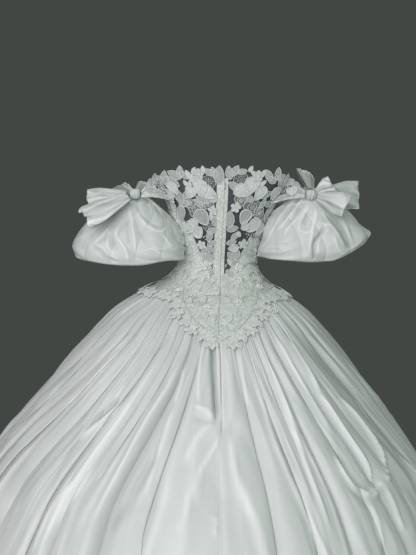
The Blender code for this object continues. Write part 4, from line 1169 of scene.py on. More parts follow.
def petal(lace, place, size, name="petal", layer=0.0012):
    """A padded petal with a raised rim and a few long veins."""
    patch(lace, place, size, name, layer)
    for way in (-0.8, -0.3, 0.3, 0.8):
        path = np.array([(0, -0.42), (way * 0.22, -0.12), (way * 0.40, 0.14), (way * 0.44, 0.36)]) * size
        lace.cord(place, path, layer + 0.0016, VEIN * 1.3)


def turned(place, x, y, extra):
    """A place (x, y) millimetres away within a motif, and turned further."""
    angle, height, turn = place
    across, up = leaned(x, y, turn)
    angle_there = angle + across * MM / float(round_speed(angle, height))
    return angle_there, height + up * MM / float(flare(angle, height)), turn + extra


def rose(lace, place, size):
    """Petals round a beaded middle."""
    for k in range(5):
        turn = 72.0 * k
        spot = turned(place, *offset(0.27 * size, turn), turn)
        petal(lace, spot, 0.50 * size, "rose", 0.0012 + 0.0004 * (k % 2))
    lace.bead_ring(place, 7, 0.075 * size, 0.0042, 0.0013)


def sheer(lace, place, size):
    """A see-through flower: corded scallops round a beaded ring."""
    patch(lace, place, size, "sheer", 0.0002)
    inner = lobed_edge(5, 0.20)(np.arange(40) / 40.0, size * 0.5)
    lace.cord(place, inner, 0.0012, CORD * 0.8, closed=True)
    for k in range(5):
        way = np.array(offset(size, 72.0 * (k + 0.5)))
        lace.cord(place, np.array([way * 0.24, way * 0.33, way * 0.40]), 0.0010, VEIN)
    lace.bead_ring(place, 9, 0.10 * size, 0.0026, 0.0014)


def dark(lace, place, size):
    """A dark flower heart, full of beads and short stamens."""
    patch(lace, place, size, "dark", 0.0003)
    for k in range(9):
        way = np.array(offset(size, 40.0 * k))
        lace.cord(place, np.array([way * 0.08, way * 0.18, way * 0.30]), 0.0017, VEIN)
        far = 0.30 if k % 2 else 0.20
        lace.bead(place, way[0] * far, way[1] * far, 0.0029, 0.0013)
    lace.bead(place, 0, 0, 0.0031, 0.0015)


def blossom(lace, place, size):
    """A small bright flower of five petals round a bead."""
    for k in range(5):
        turn = 72.0 * k
        patch(lace, turned(place, *offset(0.28 * size, turn), turn), 0.46 * size, "blossom", 0.0018)
    lace.bead(place, 0, 0, 0.0042, 0.0017)


def bud(lace, place, size):
    """A short plain leaf."""
    patch(lace, place, size, "bud", 0.0010)
    lace.cord(place, np.array([(0, -0.42), (0, 0.0), (0, 0.40)]) * size, 0.0028, VEIN)


def tulip(lace, place, size):
    """Three pointed petals on one stalk."""
    for turn in (-38, 38, 0):
        x, y = offset(0.30 * size, turn)
        spot = turned(place, x, y - 0.22 * size, turn)
        leaf(lace, spot, 0.78 * size, 0.0006 if turn else 0.0014)


def spray(lace, place, size):
    """A loose spray of pearls."""
    for k in range(5):
        out = 0.20 * size * math.sqrt(k)
        x, y = out * math.sin(SPIRAL * k), out * math.cos(SPIRAL * k)
        lace.bead(place, x, y, 0.0022, 0.0019 - 0.0001 * k)


MOTIFS = {
    "leaf": leaf, "petal": petal, "sheer": sheer, "dark": dark, "blossom": blossom, "bud": bud,
    "tulip": tulip, "beads": spray, "rose": rose,
    "cup": lambda lace, place, size: petal(lace, place, size, "cup", 0.0018),
}

# The yoke's motifs, each half's own: angle from the centre back, height in mm,
# the turn towards the shoulder (0 stands up), and size in mm.
LACE_COLUMNS = ("kind", "angle", "height", "turn", "size")
YOKE_LACE = {
    "left": (
        ("leaf", 4.6, 244, -4, 50), ("leaf", 8.5, 250, 22, 30), ("dark", 12.8, 224, 0, 38),
        ("leaf", 12.5, 250, 62, 30), ("petal", 21.0, 208, -6, 50), ("petal", 14.6, 196, 64, 50),
        ("leaf", 20.6, 179, 70, 40), ("bud", 16.9, 256, 10, 22), ("rose", 20.8, 243, 0, 30),
        ("bud", 24.5, 252, -20, 22), ("blossom", 26.2, 232, 0, 24), ("bud", 29.5, 243, 30, 24),
        ("bud", 29.8, 217, -10, 20), ("bud", 33.2, 219, 14, 20), ("petal", 31.5, 196, -34, 38),
        ("leaf", 34.5, 190, -62, 36), ("leaf", 36.4, 248, 0, 34), ("leaf", 32.8, 240, 55, 30),
        ("leaf", 42.5, 240, 64, 40), ("leaf", 54.0, 231, -14, 44), ("leaf", 46.0, 223, 44, 40),
        ("petal", 48.5, 207, 20, 42), ("leaf", 63.0, 227, 96, 38), ("leaf", 72.0, 214, 116, 36),
        ("dark", 74.0, 203, 0, 44), ("leaf", 64.0, 209, -160, 34), ("leaf", 46.8, 187, 6, 50),
        ("leaf", 43.2, 166, -72, 36), ("leaf", 50.8, 138, 166, 48), ("sheer", 29.6, 151, 0, 50),
        ("sheer", 16.6, 170, 30, 36), ("blossom", 11.2, 150, 0, 28), ("bud", 13.5, 132, 170, 20),
        ("cup", 23.4, 131, 34, 50), ("dark", 15.4, 108, 0, 36), ("petal", 40.0, 101, -40, 42),
        ("petal", 33.8, 112, 20, 34), ("petal", 29.5, 90, 150, 38), ("beads", 21.5, 79, 0, 22),
        ("leaf", 12.4, 95, -62, 30), ("leaf", 15.6, 78, 162, 30), ("blossom", 26.6, 55, 20, 26),
        ("leaf", 12.6, 60, -60, 28), ("leaf", 14.2, 43, -110, 28), ("leaf", 23.6, 37, -30, 26),
        ("tulip", 17.2, 20, 0, 38), ("beads", 8.4, -7, 0, 18), ("leaf", 11.5, -20, 150, 24),
        ("leaf", 62.0, 158, 20, 34), ("blossom", 60.0, 176, 0, 26), ("petal", 57.0, 191, 60, 34),
        ("leaf", 26.0, 168, 40, 30), ("sheer", 36.5, 168, 0, 34), ("leaf", 70.0, 178, -30, 34),
        ("bud", 9.5, 178, -70, 22), ("leaf", 9.2, 122, 10, 30),
    ),
    "right": (
        ("leaf", 3.4, 250, -8, 38), ("leaf", 8.0, 256, 30, 34), ("leaf", 13.6, 254, 76, 28),
        ("bud", 20.3, 262, 28, 20), ("dark", 12.6, 233, 0, 42), ("petal", 22.4, 217, 8, 56),
        ("leaf", 7.6, 216, -58, 36), ("petal", 15.0, 203, -64, 48), ("rose", 26.8, 243, 0, 30),
        ("bud", 23.0, 250, -50, 22), ("bud", 31.5, 252, 30, 22), ("bud", 27.0, 228, -14, 22),
        ("bud", 32.8, 226, 40, 22), ("leaf", 36.8, 247, -34, 36), ("leaf", 40.6, 235, -66, 32),
        ("leaf", 47.0, 252, 4, 36), ("leaf", 52.0, 243, 66, 30), ("leaf", 62.0, 236, 2, 36),
        ("leaf", 57.0, 225, 118, 42), ("leaf", 72.0, 218, 112, 38), ("petal", 33.6, 199, 20, 44),
        ("leaf", 41.8, 196, 66, 38), ("petal", 53.2, 201, 6, 44), ("leaf", 52.4, 171, -78, 36),
        ("petal", 61.8, 186, 44, 40), ("dark", 74.0, 205, 0, 44), ("leaf", 68.0, 218, 100, 36),
        ("sheer", 30.8, 161, 0, 52), ("sheer", 16.0, 180, 0, 36), ("sheer", 42.4, 146, 30, 36),
        ("blossom", 12.2, 160, 10, 30), ("cup", 24.3, 135, 20, 44), ("petal", 26.0, 112, 170, 30),
        ("petal", 38.0, 112, 46, 52), ("petal", 51.0, 100, 24, 40), ("dark", 45.0, 86, 0, 26),
        ("leaf", 7.2, 128, -4, 46), ("leaf", 11.6, 102, 78, 32), ("leaf", 15.6, 82, 34, 28),
        ("leaf", 12.4, 64, 76, 28), ("petal", 15.7, 48, 84, 30), ("blossom", 28.6, 60, 0, 30),
        ("tulip", 17.6, 24, 0, 40), ("leaf", 20.6, 6, 60, 26), ("beads", 6.5, -1, 0, 16),
        ("rose", 66.0, 160, 0, 38), ("leaf", 59.4, 134, -22, 40), ("leaf", 62.0, 150, -70, 32),
        ("leaf", 22.0, 36, -20, 26), ("bud", 20.0, 88, -30, 20), ("beads", 33.0, 88, 0, 20),
        ("leaf", 43.0, 172, 10, 30), ("leaf", 25.0, 184, 120, 30), ("petal", 70.0, 186, -20, 34),
        ("leaf", 11.0, -22, 150, 22),
    ),
}


def make_lace(name, lace, nodes):
    """One lace panel's cloth, cords and beads as pieces."""
    kinds = sorted(set(lace.kinds))
    points = np.concatenate(lace.cloth.points)
    piece = add_piece(name, points, lace.cloth.faces, kinds[0], nodes)
    for kind in kinds[1:]:
        piece.data.materials.append(MATERIALS[kind])
    piece.data.polygons.foreach_set("material_index", [kinds.index(kind) for kind in lace.kinds])
    cord = "cord" if "yoke" in name else "overlay_cord"
    together = [lace.cords.make(name + "_cords", cord, "lace")]
    if lace.beads.count:
        together.append(lace.beads.make(name + "_pearls", "pearl", "lace"))


def lay_motifs(lace, rows, scale):
    """Lays a table's motifs; scale turns a row's second number to the lace's own."""
    for motif in named(rows, LACE_COLUMNS):
        place = (motif["angle"], motif["height"] * scale, motif["turn"])
        MOTIFS[motif["kind"]](lace, place, motif["size"])


def beside_opening(strip, over):
    """The angle that lace keeps to beside the placket, and over it above a height."""
    def limit(side, heights):
        kept = strip + (0.0015 - strip) * ease((heights - over) / 0.012)
        return side * closure_angle(heights) + degrees_for(kept, heights)

    return limit


def make_yoke_lace():
    """Lace leaves and flowers laid over the net."""
    for word, side, strip in (("left", -1, 0.019), ("right", 1, 0.008)):
        lace = Lace(side, lambda angle, height: LACE_LIFT + 0 * angle, beside_opening(strip, 0.214))
        lay_motifs(lace, YOKE_LACE[word], MM)
        make_lace("lace_yoke_" + word, lace, ["yoke_lace_" + word])


# Courses of lace flowers along the seam: height above it, spacing, sizes of a
# flower and its leaves in mm, and the directions its leaves point in.
COURSE_COLUMNS = ("above", "spacing", "flower", "leaf", "directions")
HIP_COURSES = (
    (-14, 25, 25, 25, (142, 184, 222)),
    (44, 52, 26, 30, (60, -62, 184)),
    (86, 64, 28, 32, (96, -80, 8)),
)
FRONT_COURSES = (
    (-14, 28, 27, 27, (142, 184, 222)),
    (30, 58, 28, 32, (60, -62, 184)),
)
SATIN_MARGIN = 0.024     # the lace stops this far below the satin's upper edge
HIP_UNEVEN = (0.0, 5.0, -4.0, 2.5, -6.0, 3.5, -1.5)
SPRIG_STEP = 0.029       # between the small sprigs that fill the lace
SPRIG_LOW = -0.165       # and the heights between which they lie
SPRIG_HIGH = 0.180
SPRIG_STRAY = 0.004      # how far a sprig lies from its place in the rows
HIP_REACH = 90.0         # degrees from the back at which the hip lace meets the front's
GLITTER_COUNT = 16
# Clusters of pearls on the hip lace: angle, height and width in mm.
GLITTER = {
    "left": ((20, -6, 26), (17, -36, 22), (24, -82, 26), (9, -104, 20), (40, -70, 20)),
    "right": ((26, -8, 26), (22, -40, 24), (14, -92, 22), (36, -112, 28), (48, -60, 20)),
}


def hip_lift(angle, height):
    """Lace lies close on the satin, and its points stand off the skirt, most of
    all on the hips."""
    below = seam_height(angle) - height
    hollow = np.exp(-((height + 0.015) / 0.035) ** 2)
    on_hip = window(off_back(angle), 55, 25, 100, 30) * ease((-0.02 - height) / 0.05)
    return 0.0009 + 0.0004 * hollow + 0.0018 * ease(below / 0.030) + 0.0022 * on_hip


def low_leaf(lace, place, size):
    """A leaf of the lace on satin, low and nearly the satin's own colour."""
    patch(lace, place, size, "low_leaf", 0.0003)
    lace.cord(place, np.array([(0, -0.44), (0, 0.0), (0, 0.42)]) * size, 0.0017, VEIN * 1.2)


def low_flower(lace, place, size):
    """Five low petals round a few pearls."""
    for k in range(5):
        turn = 72.0 * k
        spot = turned(place, *offset(0.26 * size, turn), turn)
        patch(lace, spot, 0.5 * size, "low_petal", 0.0008 + 0.0004 * (k % 2))
    lace.bead_ring(place, 4, 0.09 * size, 0.0022, 0.0012)


def glitter(lace, place, width, seed):
    """A scatter of small pearls of mixed sizes that catch the light."""
    chance = np.random.default_rng(seed)
    for k in range(GLITTER_COUNT):
        out = 0.5 * width * math.sqrt((k + 0.5) / GLITTER_COUNT)
        x, y = out * math.sin(SPIRAL * k), out * math.cos(SPIRAL * k)
        lace.bead(place, x, y, 0.0024, chance.uniform(0.0014, 0.0034))


def hip_sprays(lace, start, end, courses):
    """Flowers and leaves in courses along the basque seam."""
    for course in named(courses, COURSE_COLUMNS):
        reach = 0.30 * course["flower"] + 0.42 * course["leaf"]
        angle = start + 5.0
        k = 0
        while angle < end:
            shift = HIP_UNEVEN[k % len(HIP_UNEVEN)]
            height = float(seam_height(angle)) + (course["above"] + 0.6 * shift) * MM
            middle = (angle, height, 0.0)
            if height < float(satin_height(angle)) - SATIN_MARGIN:
                for direction in course["directions"]:
                    turn = direction + 5.0 * shift
                    spot = turned(middle, *offset(reach, turn), turn)
                    low_leaf(lace, spot, course["leaf"] * (1 + 0.045 * shift))
                low_flower(lace, turned(middle, 0, 0, 4.0 * shift), course["flower"])
            angle += course["spacing"] * MM / float(round_speed(angle, height))
            k += 1


def hip_sprigs(lace, start, end, seed):
    """Small leaves and blossoms that fill the satin between the sprays."""
    chance = np.random.default_rng(seed)
    for row, height in enumerate(np.arange(SPRIG_LOW, SPRIG_HIGH, SPRIG_STEP * 0.86)):
        speed = float(round_speed(start + 20.0, height))
        for angle in np.arange(start + 2.0, end, SPRIG_STEP / speed):
            shift = (row % 2) * 0.5 * SPRIG_STEP / speed
            spot = angle + shift + chance.uniform(-1, 1) * SPRIG_STRAY / speed
            lift = height + chance.uniform(-1, 1) * SPRIG_STRAY
            kind, turn, size = chance.integers(0, 4), chance.uniform(0, 360), chance.uniform(19, 25)
            place = (spot, lift, turn)
            on_satin = seam_height(spot) + 0.010 < lift < satin_height(spot) - SATIN_MARGIN
            if not (on_satin and start < spot < end):
                continue
            if kind == 0:
                patch(lace, place, size, "sprig_flower", 0.0004)
                lace.bead(place, 0, 0, 0.0016, 0.0011)
            else:
                patch(lace, place, size, "sprig_leaf", 0.0003)


def make_hip_lace():
    """Lace over the satin and the basque seam, its points loose on the skirt."""
    for word, side, seed in (("left", -1, 31), ("right", 1, 32)):
        lace = Lace(side, hip_lift, beside_opening(0.003, 0.300))
        hip_sprigs(lace, 0.0, HIP_REACH, seed)
        hip_sprays(lace, 0.0, HIP_REACH - 0.2, HIP_COURSES)
        for k, (angle, height, width) in enumerate(GLITTER[word]):
            glitter(lace, (angle, height * MM, 0.0), width, seed + 10 + k)
        make_lace("lace_hip_" + word, lace, ["hip_lace_" + word])
    lace = Lace(1, hip_lift)
    hip_sprays(lace, HIP_REACH, 360.0 - HIP_REACH, FRONT_COURSES)
    make_lace("lace_hip_front", lace, ["hip_lace_front"])


# ---------------- sleeves

# A sleeve's rings from the armhole down round the balloon and up inside it to
# the cuff: height, tilt outwards, middle, half sizes and depth of its folds.
SLEEVE_COLUMNS = ("height", "tilt", "centre_x", "centre_y", "half_x", "half_y", "fold")
SLEEVE = (
    (0.158, 0.80, 0.178, -0.002, 0.049, 0.058, 0.0020),
    (0.138, 0.52, 0.190, -0.010, 0.080, 0.084, 0.0085),
    (0.106, 0.32, 0.212, -0.014, 0.113, 0.107, 0.0130),
    (0.070, 0.15, 0.233, -0.017, 0.140, 0.125, 0.0160),
    (0.035, 0.04, 0.244, -0.018, 0.152, 0.132, 0.0170),
    (0.009, 0.00, 0.245, -0.018, 0.149, 0.129, 0.0155),
    (-0.003, 0.00, 0.242, -0.014, 0.130, 0.111, 0.0105),
    (0.010, 0.00, 0.231, -0.004, 0.076, 0.069, 0.0040),
    (0.048, 0.00, 0.224, 0.000, 0.047, 0.050, 0.0020),
)
SLEEVE_FOLDS = 13        # soft folds round a sleeve
SLEEVE_SQUARE = 0.14     # how far a sleeve's ring is squared
SLEEVE_ROUNDNESS = 0.55  # power of the sine across a fold: low is a sharp valley
# For each side: which way x runs, how much higher and wider the sleeve is
# held, how far it reaches towards the body, its extra tilt, how far its outer
# corner is drawn up, where its folds start, how far the cloth beside the body
# is drawn straight and its bottom tucked up, how far the corner sticks out and
# how sharply its creases are pressed.
ARM_COLUMNS = ("sign", "lift", "wide", "inner", "tilt", "rise", "turned", "straight", "tucked",
               "corner", "sharp")
ARM_ROWS = {
    "left": (-1, 0.000, 1.00, 1.00, 0.00, 0.012, 6.0, 0.002, 0.013, 0.003, 1.08),
    "right": (1, 0.024, 1.07, 0.90, 0.06, 0.046, -9.0, 0.010, 0.006, 0.010, 1.35),
}
ARM_SIDE = {side: dict(zip(ARM_COLUMNS, row)) for side, row in ARM_ROWS.items()}
RISE_FROM = 0.045        # how far out from the sleeve's middle its corner starts to rise
RISE_OVER = 0.110
RISE_BELOW = 0.070       # and the height below which it does
CUFF_FROM = 6.5          # row of the table at which the sleeve is sewn to its cuff
PUFF_ROWS = 120          # rows of the mesh down to there
CUFF_ROWS = 16           # and on to the cuff's end
RING_COUNT = 360         # points round the sleeve
CLEAR_OF_BODICE = 0.0055
BOTTOM_EDGE = 0.0065     # how far the sleeve's lowest edge stands out, which makes it crisp
BOTTOM_STEP = 5.55       # and the row of the table it lies at
RING_SCALE = 0.130       # metres of sleeve for each radian round it, for its creases
STEP_SCALE = 0.036       # and for each row of the table down it
CREASE_EDGE = 1.25       # between a crease's soft roll (2) and an edge (1)
RIDGE_HEIGHT = 0.85      # share of the table's depths that the ridges keep
TROUGH_DEPTH = 0.72      # and the troughs
GATHER_CELLS = 24        # cells of noise round a sleeve
SLEEVE_SEED = {"left": 4, "right": 5}    # added to the seeds of each sleeve's noise

# Creases as on the skirt; a path's points are (degrees round, row of the table).
SLEEVE_CREASES = {
    "left": (
        (3.1, 3.3, ((50, 0.30), (31, 0.10), (7, 0.05), (-16, 0.38), (-28, 1.00))),
        (-4.3, 3.3, ((40, 0.78), (26, 1.15), (14, 1.45), (-1, 1.65), (-14, 1.78), (-23, 1.68), (-32, 1.28))),
        (3.1, 3.3, ((28, 1.20), (14, 1.55), (-1, 1.88), (-13, 2.05), (-22, 2.02), (-30, 1.62), (-34, 1.15))),
        (2.5, 4, ((-24, 2.00), (-32, 2.62), (-36, 3.08), (-38, 3.70))),
        (3.1, 2.6, ((38, 1.25), (23, 1.73), (12, 2.25), (2, 2.88), (-3, 3.60), (-6, 4.42))),
        (-2.5, 4, ((24, 2.05), (12, 2.68), (2, 3.48))),
        (-3, 7.6, ((20, 1.62), (2, 2.40), (-12, 3.08), (-22, 3.70))),
        (2.5, 3.3, ((-10, 2.95), (-18, 3.30), (-27, 3.68), (-35, 3.95))),
        (3.7, 2.6, ((28, 2.12), (25, 2.60), (20, 3.08), (10, 3.53), (4, 4.15), (1, 5.20))),
        (3.1, 2.6, ((31, 2.55), (29, 3.03), (25, 3.53), (20, 4.00), (14, 4.48))),
        (-2.5, 4.6, ((24, 2.85), (21, 3.40), (13, 3.93))),
        (3.7, 3.3, ((34, 2.60), (34, 3.10), (37, 3.65))),
        (-3.7, 3.3, ((30, 2.93), (30, 3.25), (36, 3.68))),
        (-4.3, 3.3, ((40, 3.75), (29, 4.08), (22, 4.58), (10, 5.20))),
        (2.5, 2.6, ((40, 3.60), (28, 3.83), (20, 4.33), (9, 4.93))),
        (3.1, 3.3, ((-11, 3.83), (-18, 3.68), (-25, 3.95), (-30, 4.58))),
        (2.2, 7.6, ((-30, 0.20), (-50, 0.60), (-58, 1.20), (-64, 1.98), (-64, 3.28))),
        (-3.8, 11.9, ((-32, 0.90), (-41, 1.70), (-50, 2.45))),
        (1.9, 5.3, ((52, 3.03), (56, 3.45), (80, 4.12))),
        (-1.9, 5.3, ((46, 2.98), (48, 3.48), (48, 4.35))),
    ),
    "right": (
        (2.5, 3.3, ((28, 0.12), (4, 0.30), (-20, 0.78), (-36, 1.43), (-47, 2.20), (-57, 3.38), (-76, 4.67))),
        (3.1, 2.6, ((30, 0.55), (8, 0.85), (-14, 1.33), (-29, 1.78), (-42, 2.30))),
        (-3.1, 3.3, ((22, 0.40), (-1, 0.80), (-21, 1.28), (-33, 1.73))),
        (3.1, 2.6, ((24, 1.10), (8, 1.43), (-10, 1.73), (-22, 2.10), (-34, 2.73))),
        (-3.1, 4, ((21, 0.90), (2, 1.28), (-18, 1.78), (-26, 2.12))),
        (3.7, 2.6, ((21, 1.20), (6, 1.62), (-6, 1.95), (-12, 2.45), (-8, 2.73), (0, 2.70), (9, 2.23),
                    (18, 1.62))),
        (-3.1, 3.3, ((14, 1.55), (2, 1.88), (-5, 2.30))),
        (1.9, 2, ((12, 1.80), (4, 2.15), (-3, 2.55))),
        (3.1, 3.3, ((26, 1.30), (14, 2.00), (2, 2.70), (-6, 3.55), (-8, 4.53))),
        (-7.4, 4, ((18, 2.55), (9, 2.95), (-1, 3.43), (-5, 4.10), (-4, 5.30))),
        (3.7, 3.3, ((15, 2.58), (20, 2.53), (22, 2.70))),
        (3.1, 3.3, ((21, 2.65), (12, 2.98), (2, 3.55), (-1, 4.55))),
        (2.5, 3.3, ((21, 2.93), (18, 3.53), (19, 4.28), (28, 5.35))),
        (3.1, 3.3, ((27, 1.65), (24, 2.18), (23, 2.70), (23, 3.38), (26, 4.25))),
        (-6.8, 11.9, ((26, 1.80), (27, 2.43), (28, 3.00), (28, 3.60), (33, 4.75))),
        (3.1, 3.3, ((38, 2.25), (36, 2.83), (34, 3.53), (34, 4.53))),
        (-2.5, 4, ((40, 2.88), (37, 3.62), (36, 4.45))),
        (-1.6, 4, ((-47, 3.73), (-37, 3.43), (-26, 3.65))),
        (-1.6, 4, ((-54, 4.38), (-44, 4.15), (-34, 4.25))),
        (1.2, 2.6, ((-30, 3.55), (-26, 4.33), (-22, 4.90))),
    ),
}


def clear_of_bodice(points):
    """Moves points out until they stand clear of the bodice and skirt."""
    height = points[..., 2]
    half_width = girth("half_width", height) + CLEAR_OF_BODICE
    depth = np.where(points[..., 1] < 0, girth("back", height), girth("front", height)) + CLEAR_OF_BODICE
    sine = points[..., 0] / half_width
    squared = 1 + girth("square", height) * np.clip(sine, -1, 1) ** 2
    reach = np.sqrt(sine ** 2 + (points[..., 1] / (depth * squared)) ** 2)
    grow = np.maximum(1.0, 1.0 / np.maximum(reach, 0.2))
    moved = points.copy()
    moved[..., 0] *= grow
    moved[..., 1] *= grow
    return moved


def sleeve_flat(points):
    """A crease's (degrees round, row down) points on the sleeve laid flat."""
    return np.stack([np.radians(points[:, 0]) * RING_SCALE, points[:, 1] * STEP_SCALE], -1)


def sleeve_push(side, ring_angle, step):
    """How far a sleeve's creases and gathers push its cloth out, and its painted light."""
    arm = ARM_SIDE[side]
    seed = SLEEVE_SEED[side]
    sine = np.sin(np.radians(ring_angle))
    away = np.radians((ring_angle + 180.0) % 360.0 - 180.0)
    set_by_hand = creases(away * RING_SCALE, step * STEP_SCALE, SLEEVE_CREASES[side], sleeve_flat,
                          CREASE_EDGE)
    set_by_hand = np.where(set_by_hand > 0, RIDGE_HEIGHT, TROUGH_DEPTH) * arm["sharp"] * set_by_hand
    u = ring_angle / 360.0 * GATHER_CELLS

    at_armhole = 1 - np.abs(noise(2 * u + 0.6 * step, 0.7 * step, 41 + seed, 2 * GATHER_CELLS)) ** 0.7
    push = set_by_hand - 0.0036 * at_armhole * window(step, 0, 0.15, 0, 2.2)
    # painted light: painted highlight on raised creases, painted shade in troughs and in the gathers at the
    # armhole
    painted_light = np.where(set_by_hand > 0, (set_by_hand / 0.0026) ** 1.5, set_by_hand / 0.0080)
    painted_light -= 0.45 * at_armhole ** 2 * (1 - ease(step / 1.8))
    at_cuff = 1 - np.abs(noise(2 * u, 0.7 * step, 43 + seed, 2 * GATHER_CELLS)) ** 0.7
    push -= 0.0030 * at_cuff * ease((step - 5.4) / 1.5)

    body = window(step, 0, 0.8, 6.0, 1.0)
    push += body * 0.0090 * facets(0.5 * u, 0.45 * step, 45 + seed, GATHER_CELLS // 2)
    push += body * 0.0032 * facets(u + 0.3 * step, 0.9 * step, 44 + seed, GATHER_CELLS)
    push += BOTTOM_EDGE * np.exp(-((step - BOTTOM_STEP) / 0.42) ** 2)
    push -= arm["straight"] * np.clip(-sine, 0, 1) ** 2 * window(step, 0, 1.2, 2.6, 2.0)
    push += arm["corner"] * np.clip(sine, 0, 1) ** 6 * window(step, 2.5, 2.0, 5.2, 1.0)
    return push, painted_light


def sleeve_point(side, ring_angle, step):
    """A point of a sleeve and its painted light: angle 0 is its back, 90 its outer side."""
    arm = ARM_SIDE[side]
    at = columns(SLEEVE, SLEEVE_COLUMNS)
    keys = np.arange(len(SLEEVE), dtype=float)
    row = {name: smooth(keys, at[name], step) for name in SLEEVE_COLUMNS}
    turn = np.radians(ring_angle)
    sine, cosine = np.sin(turn), np.cos(turn)
    square = SLEEVE_SQUARE * np.sin(2 * turn) ** 2
    phase = SLEEVE_FOLDS / 2 * (turn + np.radians(arm["turned"])) + 0.5 * np.sin(2 * turn)
    folds = np.abs(np.sin(phase)) ** SLEEVE_ROUNDNESS
    depth = (1 + 0.35 * np.sin(3 * turn + 1.0)) * row["fold"] * (0.55 - 0.25 * cosine)
    push, painted_light = sleeve_push(side, ring_angle, step)
    reach = 1 + square - (1 - folds) * depth / row["half_x"] + push / row["half_x"]
    outward = row["half_x"] * arm["wide"] * sine * reach * np.where(sine < 0, arm["inner"], 1.0)
    x = row["centre_x"] * (1 + 0.5 * (arm["wide"] - 1)) + outward
    y = row["centre_y"] - row["half_y"] * cosine * reach

    fullness = np.clip((0.17 - row["height"]) / 0.15, 0, 1)
    u = ring_angle / 360.0 * GATHER_CELLS
    drooping = noise(0.5 * u, 0.3 * step, 46 + SLEEVE_SEED[side], GATHER_CELLS // 2)
    droop = 0.004 * drooping * ease((step - 3.5) / 1.5)
    corner = np.clip((outward - RISE_FROM) / RISE_OVER, 0, None) ** 1.3
    rise = arm["rise"] * corner * np.clip((RISE_BELOW - row["height"]) / RISE_BELOW, 0, 1)
    tucked_up = ease((-outward - 0.01) / 0.10) * window(step, 2.5, 2.0, 6, 1.5)
    tilted = (row["tilt"] + arm["tilt"] * fullness) * outward
    z = row["height"] + arm["lift"] + tilted + rise + droop + arm["tucked"] * tucked_up
    points = np.stack([x, y, z], axis=-1)
    return clear_of_bodice(points) * np.array([arm["sign"], 1.0, 1.0]), painted_light


def make_sleeves():
    """Two balloon sleeves, gathered at the armhole and onto their cuffs."""
    for side in ARM_SIDE:
        share = np.linspace(0, 1, RING_COUNT, endpoint=False)
        ring_angle = 360 * share - 90 / math.pi * np.sin(2 * math.pi * share)
        step = np.concatenate([np.linspace(0, CUFF_FROM, PUFF_ROWS),
                               np.linspace(CUFF_FROM, len(SLEEVE) - 1, CUFF_ROWS)])
        ring_angle, step = grid_of(ring_angle, step)
        points, painted_light = sleeve_point(side, ring_angle, step)
        if side == "left":
            points, painted_light = points[::-1], painted_light[::-1]
        piece = shell("puff_" + side, points[:, :PUFF_ROWS], 0.0, "taffeta", ["sleeve_" + side],
                      closed=True, painted_light=painted_light[:, :PUFF_ROWS])
        cuff = shell("cuff_band_" + side, points[:, PUFF_ROWS:], 0.0, "taffeta",
                     ["cuff_" + side], closed=True)
        binding = Batch()
        ring = points[::3, -1]
        binding.add_tube(ring, unit(ring - ring.mean(axis=0)), 0.0026, closed=True)
        binding.make("cuff_binding_" + side, "taffeta", "taffeta")


# ---------------- bows

KNOT = {"left": (238, -90, 187), "right": (238, -99, 200)}    # a knot's middle in mm
KNOT_SIZE = (15, 13, 17)          # and its half sizes
KNOT_PULL = (0.92, 0.78, 0.80)    # how tightly the wrap is drawn in, along each axis
# A bow's loops: where each ends in mm, its ribbon's width, how full it stands,
# which way the ribbon's width runs, the depth of its crumples in mm, and how
# much painted shade (+) or painted highlight (-) it gets.
LOOP_COLUMNS = ("name", "end", "width", "fullness", "across", "crumple", "shade")
LOOPS = {
    "left": (
        ("outer", (362, -84, 168), 52, 7, (0.02, 0.12, 1.0), 5.5, 0.05),
        ("lower", (363, -172, 121), 62, 10, (0.65, 0.38, 0.66), 9.5, -0.30),
        ("front", (209, -2, 214), 34, 8, (1.0, 0.3, 0.2), 2.0, 1.0),
        ("top", (284, 12, 202), 42, 8, (1.0, 0.3, -0.3), 2.0, 1.0),
    ),
    "right": (
        ("outer", (370, -100, 203), 76, 8, (0.02, 0.12, 1.0), 5.5, 0.50),
        ("lower", (315, -178, 176), 60, 7, (0.10, 0.10, 1.0), 6.0, -0.15),
        ("wrap", (288, -127, 228), 54, 7, (0.85, 0.0, -0.5), 4.0, -0.25),
        ("front", (242, 18, 261), 48, 9, (1.0, 0.1, -0.3), 2.0, 1.0),
    ),
}
KNOT_END = 0.32          # ribbon width at the knot as a share of its full width
UNEVEN_END = 0.04        # how uneven a loop's fold is across the ribbon
PRESSED = 0.70           # how far a loop's two layers close up along its edges
PINCH = 0.0042           # depth of the pleats that run out from the knot
LOOP_TURN = (22.0, 316.0)    # where a loop starts round its own fold, and how far it runs
LOOP_RUNS = 82           # points along a loop's ribbon
LOOP_ACROSS = 25         # and across it
KNOT_ROUNDS = 54         # points round a knot's wrap, and rows from end to end
KNOT_ROWS = 40
KNOT_OPEN = 0.12         # radians that the wrap stops short of the knot's ends


